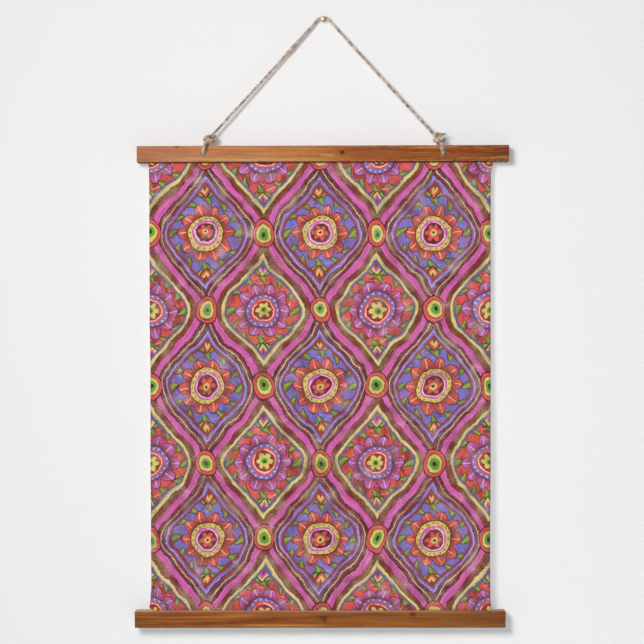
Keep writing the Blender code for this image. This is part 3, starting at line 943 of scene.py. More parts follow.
def baked_mesh(source: bpy.types.Object, name: str) -> bpy.types.Mesh:
    """Return an object's mesh with its modifiers or its bevel in it, and remove the object."""
    depsgraph = bpy.context.evaluated_depsgraph_get()
    mesh = bpy.data.meshes.new_from_object(source.evaluated_get(depsgraph))
    mesh.name = name
    bpy.data.objects.remove(source, do_unlink=True)
    return mesh


def joined_mesh(name: str, parts: Iterable[bpy.types.Mesh]) -> bpy.types.Mesh:
    """Return meshes as one, and remove them."""
    shape = bmesh.new()
    for part in parts:
        shape.from_mesh(part)
        bpy.data.meshes.remove(part)
    return to_mesh(shape, name)


def add_piece(
    name: str, mesh: bpy.types.Mesh, finishes: Sequence[Finish], slot: str, *stands_for: str
) -> bpy.types.Object:
    """Add a finished piece that rides on the hanging's body.

    Args:
        name: The piece's name.
        mesh: Its mesh, in place.
        finishes: Its finishes, in the order of its material slots.
        slot: A name for its material slot, which is only logged.
        *stands_for: The CAD nodes that the piece takes the place of.

    Returns:
        The piece's object.
    """
    piece = link_object(name, mesh)
    mesh.materials.clear()
    for finish in finishes:
        mesh.materials.append(finish.material())
    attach(piece, BODY)
    if stands_for:
        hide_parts(*stands_for)
    LOG.info("piece %s: %d faces, slot %s", name, len(mesh.polygons), slot)
    return piece


@dataclass
class Bar:
    """A wooden bar of two slats, with the cloth clamped between them."""

    word: str
    length: float
    x: float
    back_y: float
    z: float
    tilt: float
    wood: BarWood
    hole_to_end: float | None = None
    slat_height: float = 1.25 * INCH
    slat_depth: float = 0.375 * INCH
    eased_edge: float = 0.0018
    eased_steps: int = 5
    lengths: int = 60
    cloth_thickness: float = 0.0010
    hole_diameter: float = 0.0085
    hole_flare: float = 0.0006
    overshoot: float = 0.004
    unevenness: float = 0.00022
    smooth_angle: float = math.radians(40)

    @property
    def depth(self) -> float:
        """Return the bar's depth, from its back face to its front face."""
        return 2 * self.slat_depth + self.cloth_thickness + 2 * FIT_GAP

    @property
    def clamp_y(self) -> float:
        """Return the middle of the gap between the slats."""
        return self.back_y - self.depth / 2

    @property
    def front_y(self) -> float:
        """Return where the front face lies."""
        return self.back_y - self.depth

    def edge_z(self, x: float, side: int) -> float:
        """Return the height of the upper (side 1) or lower (side -1) edge at x."""
        return self.z + side * self.slat_height / 2 + math.tan(self.tilt) * (x - self.x)

    def hole_place(self, side: Side) -> tuple[float, float]:
        """Return x and z of a rope hole's axis."""
        offset = side.value * (self.length / 2 - (self.hole_to_end or 0.0))
        return (self.x + offset * math.cos(self.tilt), self.z + offset * math.sin(self.tilt))

    def slat_mesh(self, name: str, middle_y: float) -> bpy.types.Mesh:
        """A slat in place: a sawn strip with eased edges and the slight unevenness of planed wood."""
        shape = bmesh.new()
        bmesh.ops.create_cube(shape, size=1.0)
        bmesh.ops.scale(shape, vec=(self.length, self.slat_depth, self.slat_height), verts=shape.verts)
        round_off = {"affect": "EDGES", "segments": self.eased_steps, "profile": 0.5, "material": -1}
        bmesh.ops.bevel(shape, geom=list(shape.edges), offset=self.eased_edge, **round_off)
        for cut in range(1, self.lengths):
            whole = shape.verts[:] + shape.edges[:] + shape.faces[:]
            where = (self.length * (cut / self.lengths - 0.5), 0.0, 0.0)
            bmesh.ops.bisect_plane(shape, geom=whole, plane_co=where, plane_no=(1.0, 0.0, 0.0))
        for vert in shape.verts:
            spot = Vector((vert.co.x * 14, vert.co.y * 60 + middle_y * 900, vert.co.z * 60))
            vert.co += noise.noise_vector(spot) * self.unevenness
        place = Matrix.Translation((self.x, middle_y, self.z)) @ Matrix.Rotation(-self.tilt, 4, "Y")
        bmesh.ops.transform(shape, matrix=place, verts=shape.verts)
        return shell_mesh(shape, name, self.smooth_angle)

    def hole_mesh(self, name: str, side: Side) -> bpy.types.Mesh:
        """A drill with a flare at both faces of the bar, which softens the hole's rims."""
        hole_x, hole_z = self.hole_place(side)
        radius = self.hole_diameter / 2
        wide = radius + self.hole_flare
        profile = [
            (0.0, self.back_y + self.overshoot),
            (wide + self.overshoot, self.back_y + self.overshoot),
            (wide, self.back_y),
            (radius, self.back_y - 1.5 * self.hole_flare),
            (radius, self.front_y + 1.5 * self.hole_flare),
            (wide, self.front_y),
            (wide + self.overshoot, self.front_y - self.overshoot),
            (0.0, self.front_y - self.overshoot),
        ]
        shape = spun(profile, 40)
        bmesh.ops.translate(shape, vec=(hole_x, 0.0, hole_z), verts=shape.verts)
        return shell_mesh(shape, name)

    def make_slat(self, part: str, middle_y: float) -> bpy.types.Object:
        """Make one slat, drilled where the bar has rope holes."""
        name = f"{self.word}_{part}_slat_wood"
        source = link_object(name, self.slat_mesh(name, middle_y))
        drills = []
        for side in Side if self.hole_to_end is not None else ():
            drill = link_object(f"{name}_drill", self.hole_mesh(f"{name}_drill", side))
            cut = source.modifiers.new("Hole", "BOOLEAN")
            cut.object = drill
            cut.operation = "DIFFERENCE"
            cut.solver = "EXACT"
            drills.append(drill)
        mesh = baked_mesh(source, name)
        for drill in drills:
            bpy.data.objects.remove(drill, do_unlink=True)
        smooth_up_to(mesh, self.smooth_angle)
        return add_piece(name, mesh, [self.wood], f"{self.word}_bar_wood", f"{self.word}_{part}_slat")

    def build(self) -> list[bpy.types.Object]:
        """Make both slats and return them."""
        back_middle = self.back_y - self.slat_depth / 2
        front_middle = self.front_y + self.slat_depth / 2
        return [self.make_slat("back", back_middle), self.make_slat("front", front_middle)]


class Station(NamedTuple):
    """How far below the top bar a place is, and where the cloth's edges lie there."""

    drop: float
    left: float
    right: float


class Ripple(NamedTuple):
    """A ripple: depth, wavelength across, slant, where along the drop it peaks, and how far it spreads."""

    depth: float
    wavelength: float
    slant: float
    peak: float
    spread: float


@dataclass
class Cloth:
    """The printed sheet, tucked into both bars."""

    top: Bar
    bottom: Bar
    print: ClothPrint
    reverse: ClothReverse
    thickness: float = 0.0010
    tuck: float = 0.011
    columns: int = 120
    rows: int = 156
    edge_wobble: float = 0.00035
    ripple_fade: float = 0.035
    curl_depth: float = 0.0060
    curl_breadth: float = 0.110
    curl_start: float = 0.28
    curl_full: float = 0.80
    stations: tuple[Station, ...] = (
        Station(0.000, -0.3355, 0.3268),
        Station(0.026, -0.3346, 0.3235),
        Station(0.072, -0.3343, 0.3229),
        Station(0.303, -0.3333, 0.3225),
        Station(0.395, -0.3318, 0.3224),
        Station(0.534, -0.3314, 0.3217),
        Station(0.740, -0.3298, 0.3205),
        Station(0.810, -0.3291, 0.3205),
        Station(0.834, -0.3304, 0.3206),
        Station(0.860, -0.3330, 0.3236),
    )
    ripples: tuple[Ripple, ...] = (
        Ripple(0.0014, 0.236, 0.16, 0.18, 0.30),
        Ripple(0.0017, 0.310, -0.22, 0.62, 0.34),
        Ripple(0.0011, 0.145, 0.08, 0.93, 0.16),
    )

    def edges(self, drop: float) -> tuple[float, float]:
        """Return where the left and right edges lie at a drop below the top bar."""
        pairs = list(zip(self.stations, self.stations[1:]))
        above, here = next((pair for pair in pairs if pair[1].drop >= drop), pairs[-1])
        share = ease((drop - above.drop) / (here.drop - above.drop))
        left = above.left + (here.left - above.left) * share
        return left, above.right + (here.right - above.right) * share

    def ripple_depth(self, x: float, share: float, drop: float, rise: float) -> float:
        """Return how far the cloth stands off its plane, which fades to nothing at the bars.

        The ripples add up with a curl of the right edge, which grows on the way down.
        """
        fade = ease(drop / self.ripple_fade) * ease(rise / self.ripple_fade)
        near_edge = ease(1 - (self.stations[-1].right - x) / self.curl_breadth)
        grown = ease((share - self.curl_start) / (self.curl_full - self.curl_start))
        total = 0.0
        for ripple in self.ripples:
            swell = math.exp(-(((share - ripple.peak) / ripple.spread) ** 2))
            phase = TURN * (x + ripple.slant * drop) / ripple.wavelength
            total += ripple.depth * swell * math.sin(phase) * (1 - near_edge)
        return fade * (total + self.curl_depth * near_edge * grown)

    def point(self, across: float, down: float) -> Vector:
        """Return a point of the cloth's middle surface.

        Args:
            across: 0 at the left edge and 1 at the right one.
            down: The way down the cut cloth in metres, with the tucked strips in it.

        Returns:
            The point.
        """
        full_drop = self.stations[-1].drop
        open_drop = min(max(down - self.tuck, 0.0), full_drop)
        wobble = noise.noise(Vector((down * 45, 3.0, across * 9))) * self.edge_wobble
        left, right = (edge + wobble for edge in self.edges(open_drop))
        x = left + (right - left) * across
        top_z = self.top.edge_z(x, -1)
        bottom_z = self.bottom.edge_z(x, 1)
        if down < self.tuck:
            return Vector((x, self.top.clamp_y, top_z + self.tuck - down))
        if down > self.tuck + full_drop:
            return Vector((x, self.bottom.clamp_y, bottom_z - (down - self.tuck - full_drop)))
        share = open_drop / full_drop
        z = top_z + (bottom_z - top_z) * share
        plane_y = self.top.clamp_y + (self.bottom.clamp_y - self.top.clamp_y) * share
        return Vector((x, plane_y - self.ripple_depth(x, share, top_z - z, z - bottom_z), z))

    def build(self) -> bpy.types.Object:
        """Make the sheet with a print in front, a plain reverse and cut edges."""
        cut_length = self.stations[-1].drop + 2 * self.tuck
        shape = bmesh.new()
        uv_layer = shape.loops.layers.uv.new("UVMap")
        bmesh.ops.create_grid(shape, x_segments=self.columns, y_segments=self.rows, size=0.5, calc_uvs=True)
        for face in shape.faces:
            for corner in face.loops:
                corner[uv_layer].uv = (corner.vert.co.x + 0.5, corner.vert.co.y + 0.5)
        for vert in shape.verts:
            vert.co = self.point(vert.co.x + 0.5, (0.5 - vert.co.y) * cut_length)
        mesh = shell_mesh(shape, "cloth_sheet", math.radians(60))
        if mesh.polygons[0].normal.y > 0:
            mesh.flip_normals()
        piece = add_piece("cloth_sheet", mesh, [self.print, self.reverse], "printed_cloth", "cloth")
        thicken = piece.modifiers.new("Thickness", "SOLIDIFY")
        thicken.thickness = self.thickness
        thicken.offset = 0.0
        thicken.material_offset = 1
        thicken.material_offset_rim = 1
        return piece


@dataclass
class Nail:
    """The nail: a shank that ends at the wall's face, and a domed head."""

    brass: Brass
    shank_diameter: float = 0.0028
    shank_end_y: float = -0.00002
    neck: float = 0.0004
    head_diameter: float = 0.0100
    head_lift: float = 0.0005
    head_rim: float = 0.0007
    head_back_y: float = -0.0109
    head_front_y: float = -0.0141
    dome_steps: int = 16
    turn_steps: int = 64

    def build(self) -> bpy.types.Object:
        """Turn the nail's profile about the Y axis."""
        shank = self.shank_diameter / 2
        head = self.head_diameter / 2
        round_off = self.head_rim / 3
        dome = abs(self.head_front_y - self.head_back_y) - self.head_rim
        profile = [
            (0.0, self.shank_end_y),
            (shank, self.shank_end_y),
            (shank, self.head_back_y + self.neck),
            (shank + self.neck, self.head_back_y),
            (head - round_off, self.head_back_y),
            (head, self.head_back_y - round_off),
        ]
        for step in range(self.dome_steps + 1):
            angle = math.pi / 2 * step / self.dome_steps
            y = self.head_back_y - self.head_rim - dome * math.sin(angle)
            profile.append((head * math.cos(angle), y))
        shape = spun(profile, self.turn_steps)
        for vert in shape.verts:
            vert.co.z += self.head_lift * vert.co.y / self.head_back_y
        mesh = shell_mesh(shape, "nail_head_and_shank", math.radians(35))
        return add_piece("nail_head_and_shank", mesh, [self.brass], "brass_nail", "nail")


def spline_point(before: Vector, start: Vector, end: Vector, after: Vector, share: float) -> Vector:
    """Return a point of the Catmull-Rom curve between start and end."""
    return 0.5 * (
        2 * start
        + (end - before) * share
        + (2 * before - 5 * start + 4 * end - after) * share ** 2
        + (3 * start - before - 3 * end + after) * share ** 3
    )


def smooth_route(points: Sequence[Vector], step: float) -> list[Vector]:
    """Return points a step apart along the smooth curve through the given ones.

    Args:
        points: The points that the curve passes through.
        step: The distance between the returned points.

    Returns:
        The points of the curve.
    """
    samples = 24
    padded = [2 * points[0] - points[1], *points, 2 * points[-1] - points[-2]]
    fine = [
        spline_point(*around, sample / samples)
        for around in zip(padded, padded[1:], padded[2:], padded[3:])
        for sample in range(samples)
    ]
    fine.append(points[-1])
    lengths = [0.0]
    for start, end in zip(fine, fine[1:]):
        lengths.append(lengths[-1] + (end - start).length)
    count = max(2, round(lengths[-1] / step))
    route = []
    index = 0
    for part in range(count + 1):
        target = lengths[-1] * part / count
        while index < len(fine) - 2 and lengths[index + 1] < target:
            index += 1
        span = lengths[index + 1] - lengths[index]
        share = (target - lengths[index]) / span if span > 0 else 0.0
        route.append(fine[index].lerp(fine[index + 1], min(share, 1.0)))
    return route


def route_length(route: Sequence[Vector]) -> float:
    """Return how long a route is."""
    return sum((end - start).length for start, end in zip(route, route[1:]))


def route_frames(route: Sequence[Vector]) -> list[tuple[Vector, Vector, Vector]]:
    """Return a tangent and two normals at each point, turned as little as possible on the way."""
    frames = []
    normal = Vector((0.0, 1.0, 0.0))
    for index in range(len(route)):
        ahead = route[min(index + 1, len(route) - 1)]
        behind = route[max(index - 1, 0)]
        tangent = (ahead - behind).normalized()
        normal = (normal - tangent * normal.dot(tangent)).normalized()
        frames.append((tangent, normal, tangent.cross(normal)))
    return frames


def round_curve(name: str, radius: float, resolution: int) -> bpy.types.Curve:
    """Return an empty curve with a round bevel."""
    curve = bpy.data.curves.new(name, "CURVE")
    curve.dimensions = "3D"
    curve.bevel_depth = radius
    curve.bevel_resolution = resolution
    return curve


class Tuft(NamedTuple):
    """A frayed place: where, which way its fibres point, how wide it is, and how long they are.

    The tone is 1 for pale fibres and less for darker ones. The thickness is 1 for single fibres and
    more for wisps of them.
    """

    place: Triple
    heading: Triple
    breadth: float
    spread: float
    reach: float
    count: int
    tone: float
    thickness: float = 1.0


@dataclass
class Twine:
    """The jute rope's make: three strands laid round each other, with loose fibres."""

    jute: Jute
    diameter: float = 0.0052
    lay: float = 0.020
    strands: int = 3
    strand_share: float = 0.55
    reach_share: float = 0.54
    lumpiness: float = 0.10
    lump_pitch: float = 260.0
    resolution: int = 3
    fibre_radius: float = 0.00010
    fibre_points: int = 5

    @property
    def radius(self) -> float:
        """Return the rope's radius."""
        return self.diameter / 2

    @property
    def seat(self) -> float:
        """Return the distance of the rope's middle from a face that it touches."""
        return self.radius + FIT_GAP

    def rope_mesh(
        self, name: str, route: Sequence[Vector], step: float, swells: Sequence[float]
    ) -> bpy.types.Mesh:
        """Return strands laid along a route as one mesh that knows its crowns and valleys.

        Args:
            name: The mesh's name.
            route: The rope's middle line.
            step: The distance between the route's points.
            swells: How much thicker the rope is at each point than it usually is.

        Returns:
            The mesh, with an attribute that is 0 at the rope's middle and 1 at its outside.
        """
        curve = round_curve(name, self.radius * self.strand_share, self.resolution)
        curve.use_fill_caps = True
        frames = route_frames(route)
        for strand in range(self.strands):
            spline = curve.splines.new("POLY")
            spline.points.add(len(route) - 1)
            spline.use_smooth = True
            for index, (here, swell, (_, normal, binormal)) in enumerate(zip(route, swells, frames)):
                angle = TURN * (strand / self.strands + index * step / self.lay)
                reach = self.radius * self.reach_share * swell
                place = here + reach * (math.cos(angle) * normal + math.sin(angle) * binormal)
                lump = noise.noise(Vector((index * step * self.lump_pitch, strand * 17.0, route[0].x * 90)))
                spline.points[index].co = (*place, 1.0)
                spline.points[index].radius = (1.0 + lump * self.lumpiness) * swell
        mesh = baked_mesh(link_object(name, curve), name)
        finder = KDTree(len(route))
        for index, here in enumerate(route):
            finder.insert(here, index)
        finder.balance()
        outside = self.radius * (self.reach_share + self.strand_share)
        crown = mesh.attributes.new(CROWN, "FLOAT", "POINT")
        for vert in mesh.vertices:
            index = finder.find(vert.co)[1]
            tangent = frames[index][0]
            offset = vert.co - route[index]
            away = (offset - tangent * offset.dot(tangent)).length
            crown.data[vert.index].value = away / (outside * swells[index])
        return mesh

    def stray_fibres(
        self, curve: bpy.types.Curve, route: Sequence[Vector], spacing: float, draw: random.Random
    ) -> None:
        """Add loose fibres that stand off a rope.

        Args:
            curve: The curve that takes the fibres.
            route: The rope's middle line.
            spacing: About how much rope there is to each fibre.
            draw: The random draws.
        """
        frames = route_frames(route)
        for _ in range(int(route_length(route) / spacing)):
            index = draw.randrange(1, len(route) - 1)
            tangent, normal, binormal = frames[index]
            angle = draw.uniform(0, TURN)
            outward = math.cos(angle) * normal + math.sin(angle) * binormal
            heading = draw.choice((-1.0, 1.0))
            along = tangent * heading * draw.uniform(0.004, 0.011)
            lift = outward * draw.uniform(0.0006, 0.0026)
            swirl = tangent.cross(outward) * draw.uniform(-0.004, 0.004)
            self.add_fibre(curve, route[index] + outward * self.radius * 0.8, along, lift, swirl, 1.0)

    def tuft_fibres(self, curve: bpy.types.Curve, tuft: Tuft, draw: random.Random) -> None:
        """Add the splayed fibres of a frayed place."""
        for _ in range(tuft.count):
            jitter = Vector([draw.uniform(-1.0, 1.0) for _ in range(3)])
            spread = Vector([draw.gauss(0.0, tuft.spread) for _ in range(3)])
            heading = (Vector(tuft.heading).normalized() + spread).normalized()
            reach = draw.uniform(0.35, 1.0) * tuft.reach
            droop = Vector((0.0, 0.0, -0.25 * reach * draw.random()))
            swirl = Vector([draw.uniform(-0.22, 0.22) * reach for _ in range(3)])
            start = Vector(tuft.place) + jitter * tuft.breadth
            self.add_fibre(curve, start, heading * reach, droop, swirl, tuft.thickness)

    def add_fibre(
        self, curve: bpy.types.Curve, start: Vector, along: Vector, lift: Vector, swirl: Vector, thick: float
    ) -> None:
        """Add one curling fibre that thins towards its tip, and stays off the wall and close in."""
        spline = curve.splines.new("POLY")
        spline.points.add(self.fibre_points - 1)
        for step, point in enumerate(spline.points):
            share = step / (self.fibre_points - 1)
            place = start + along * share + lift * share ** 1.6 + swirl * share ** 2
            place.y = min(max(place.y, NEAREST_Y), FARTHEST_Y)
            point.co = (*place, 1.0)
            point.radius = thick * (1.0 - 0.7 * share)


DOWN = (0.0, -0.12, -1.0)


@dataclass
class EndKnot:
    """A rope end: a loop through the bar's hole, closed by turns round the rope itself.

    The turns are points in millimetres from the knot's centre, across, towards the viewer, and up,
    each with how much thicker the rope lies there.
    """

    side: Side
    bar: Bar
    twine: Twine
    centre: Vector
    stub: Vector
    turns: tuple[tuple[float, float, float, float], ...]
    tufts: tuple[Tuft, ...]
    lean: float
    front_swell: float = 1.30
    mouth_swell: float = 1.05
    mouth_reach: float = 0.0090
    swing: float = 0.0012
    hole_ease: float = 0.0006
    over_bar: float = 0.0052
    behind_bar: float = 0.0028
    step: float = 0.0010

    def loop_points(self) -> list[Vector]:
        """Return the loop's points: through the knot, down the bar's front, its hole, and up its back."""
        hole_x, hole_z = self.bar.hole_place(self.side)
        hole_top = hole_z + self.bar.hole_diameter / 2
        bar_top = hole_z + self.bar.slat_height / 2
        front_face = self.bar.front_y
        front_y = front_face - self.twine.radius * self.front_swell - FIT_GAP
        back_face = self.bar.back_y
        back_y = back_face + self.twine.seat
        corner = self.twine.seat * math.sqrt(0.5)
        through_z = hole_top - self.twine.seat
        leave_x = self.centre.x + (hole_x - self.centre.x) * self.lean
        toward_hole = hole_x - leave_x
        inward = -self.side.value
        on_bar = (
            (leave_x, front_face + self.swing, bar_top + self.over_bar),
            (leave_x + toward_hole * 0.3, front_y, bar_top - 0.0005),
            (leave_x + toward_hole * 0.7, front_y, hole_top + 0.0030),
            (hole_x, front_y, hole_z + 0.0030),
            (hole_x, front_face - 0.0012, hole_z),
            (hole_x, front_face + 0.0030, hole_z),
            (hole_x, self.bar.clamp_y, through_z),
            (hole_x, back_face - self.hole_ease, through_z),
            (hole_x, back_face + corner, hole_top - corner),
            (hole_x, back_y, hole_top + self.hole_ease),
            (leave_x + toward_hole * 0.6, back_y, hole_top + 0.0050),
            (leave_x, back_y, bar_top - self.swing),
            (leave_x + inward * 0.0010, back_y - 0.0010, bar_top + self.behind_bar),
            (leave_x + inward * 0.0025, back_y - 0.0042, bar_top + 2 * self.behind_bar),
        )
        return [
            self.centre + (self.stub - self.centre) * 0.45,
            self.centre + Vector((0.0, -self.swing, -0.0008)),
            *map(Vector, on_bar),
            self.centre + Vector((0.0, 0.0062, -0.0030)),
        ]

    @property
    def mouth_tuft(self) -> Tuft:
        """Return the short dark fibres that fill what the rope leaves open of the hole."""
        hole_x, hole_z = self.bar.hole_place(self.side)
        place = (hole_x, self.bar.front_y + 0.0030, hole_z - self.bar.hole_diameter / 2 + 0.0010)
        return Tuft(place, DOWN, 0.0024, 0.6, 0.0020, 110, 0.50, 3.0)

    def loop_route(self) -> tuple[list[Vector], list[float]]:
        """Return the loop's middle line and how thick it is.

        The stretch in front of the bar lies loose, and narrows into the hole.
        """
        route = smooth_route(self.loop_points(), self.step)
        hole_z = self.bar.hole_place(self.side)[1]
        swells = []
        for point in route:
            in_front = ease((self.bar.front_y + 0.010 - point.y) / 0.006)
            above_hole = ease((point.z - hole_z) / self.mouth_reach)
            loose = self.mouth_swell + (self.front_swell - self.mouth_swell) * above_hole
            swells.append(1.0 + (loose - 1.0) * in_front)
        return route, swells

    def turn_route(self) -> tuple[list[Vector], list[float]]:
        """Return the turns' middle line and how thick they are at each of its points."""
        points = []
        for across, near, up, swell in self.turns:
            place = self.centre + Vector((across, -near, up)) * MILLIMETRE
            points.append(Vector((*place, swell * MILLIMETRE)))
        route = smooth_route(points, self.step)
        return [point.to_3d() for point in route], [point.w / MILLIMETRE for point in route]

    def build(self) -> bpy.types.Object:
        """Make the loop and the turns as one piece."""
        word = self.side.name.lower()
        name = f"rope_end_{word}"
        routes = (self.loop_route(), self.turn_route())
        parts = (self.twine.rope_mesh(name, route, self.step, swells) for route, swells in routes)
        mesh = joined_mesh(name, parts)
        mesh.shade_smooth()
        return add_piece(name, mesh, [self.twine.jute], "jute_rope", f"knot_{word}")


class Slub(NamedTuple):
    """A thicker place in the rope: where across the wall, how far it reaches, and how thick it is."""

    x: float
    reach: float
    swell: float

    def at(self, place: Vector) -> float:
        """Return what the slub adds to the rope's thickness at a place."""
        return (self.swell - 1.0) * math.exp(-(((place.x - self.x) / self.reach) ** 2))


@dataclass
class Hanger:
    """The rope over the nail, from knot to knot."""

    twine: Twine
    left_stub: Vector
    right_stub: Vector
    shank_diameter: float
    bend_radius: float = 0.0149
    bend_x: float = 0.0010
    at_nail_y: float = -0.0075
    sag: float = 0.0007
    tuck: float = 0.0080
    leg_parts: int = 6
    bend_parts: int = 6
    step: float = 0.00125
    fibre_spacing: float = 0.0010
    unevenness: float = 0.16
    slubs: tuple[Slub, ...] = (
        Slub(-0.0640, 0.0075, 1.45),
        Slub(-0.0480, 0.0110, 1.28),
        Slub(-0.0290, 0.0080, 1.16),
        Slub(0.1400, 0.0080, 1.16),
    )
    seed: int = 7

    @property
    def bend_middle_z(self) -> float:
        """Return the height of the middle of the bend over the nail."""
        return self.shank_diameter / 2 + self.twine.seat - self.bend_radius

    def bend_point(self, angle: float) -> Vector:
        """Return a point of the bend over the nail, at an angle from +X."""
        x = self.bend_x + self.bend_radius * math.cos(angle)
        return Vector((x, self.at_nail_y, self.bend_middle_z + self.bend_radius * math.sin(angle)))

    def touch_angle(self, stub: Vector, side: Side) -> float:
        """Return where on the bend the straight leg from a stub touches it."""
        across = side.value * (stub.x - self.bend_x)
        up = stub.z - self.bend_middle_z
        lift = math.atan2(up, across) + math.acos(self.bend_radius / math.hypot(across, up))
        return lift if side is Side.RIGHT else math.pi - lift

    def leg_points(self, stub: Vector, touch: Vector) -> list[Vector]:
        """Return a leg's points from inside its knot to the bend, without the last one."""
        points = [stub - (touch - stub).normalized() * self.tuck]
        for part in range(self.leg_parts):
            share = part / self.leg_parts
            drop = 4 * self.sag * share * (1 - share)
            points.append(stub.lerp(touch, share) - Vector((0.0, 0.0, drop)))
        return points

    def route(self) -> list[Vector]:
        """Return the rope's middle line from inside the left knot to inside the right one."""
        left_angle = self.touch_angle(self.left_stub, Side.LEFT)
        right_angle = self.touch_angle(self.right_stub, Side.RIGHT)
        left_leg = self.leg_points(self.left_stub, self.bend_point(left_angle))
        right_leg = self.leg_points(self.right_stub, self.bend_point(right_angle))
        shares = [part / self.bend_parts for part in range(self.bend_parts + 1)]
        bend = [self.bend_point(left_angle + (right_angle - left_angle) * share) for share in shares]
        return smooth_route(left_leg + bend + right_leg[::-1], self.step)

    def swell(self, place: Vector) -> float:
        """Return how much thicker the rope is at a place than it usually is."""
        wander = noise.noise(Vector((place.x * 55.0, 3.7, 0.0))) * self.unevenness
        return 1.0 + wander + sum(slub.at(place) for slub in self.slubs)

    def toned_mesh(self, curve: bpy.types.Curve, tone: float) -> bpy.types.Mesh:
        """Return fibres as a mesh of one tone."""
        mesh = baked_mesh(link_object("rope_fibres", curve), "rope_fibres")
        crown = mesh.attributes.new(CROWN, "FLOAT", "POINT")
        crown.data.foreach_set("value", [tone] * len(mesh.vertices))
        return mesh

    def build_fibres(self, routes: Sequence[Sequence[Vector]], tufts: Sequence[Tuft]) -> bpy.types.Object:
        """Make the loose fibres along the ropes and the tufts of frayed places, as one piece."""
        draw = random.Random(self.seed)
        strays = round_curve("rope_fibres", self.twine.fibre_radius, 0)
        for route in routes:
            self.twine.stray_fibres(strays, route, self.fibre_spacing, draw)
        toned = [(strays, 1.0)]
        for tuft in tufts:
            frayed = round_curve("rope_fibres", self.twine.fibre_radius, 0)
            self.twine.tuft_fibres(frayed, tuft, draw)
            toned.append((frayed, tuft.tone))
        mesh = joined_mesh("rope_fibres", (self.toned_mesh(curve, tone) for curve, tone in toned))
        return add_piece("rope_fibres", mesh, [self.twine.jute], "jute_rope")

    def build(self, knots: Sequence[EndKnot]) -> bpy.types.Object:
        route = self.route()
        swells = [self.swell(place) for place in route]
        mesh = self.twine.rope_mesh("rope_standing", route, self.step, swells)
        mesh.shade_smooth()
        rope = add_piece("rope_standing", mesh, [self.twine.jute], "jute_rope", "rope")
        ends = [knot.build() for knot in knots]
        routes = [route]
        for knot in knots:
            routes.extend((knot.loop_route()[0], knot.turn_route()[0]))
        fuzz = self.build_fibres(routes, [tuft for knot in knots for tuft in (*knot.tufts, knot.mouth_tuft)])
        length = route_length(route)
        LOG.info("rope from knot to knot: %.3f m", length)
        return rope


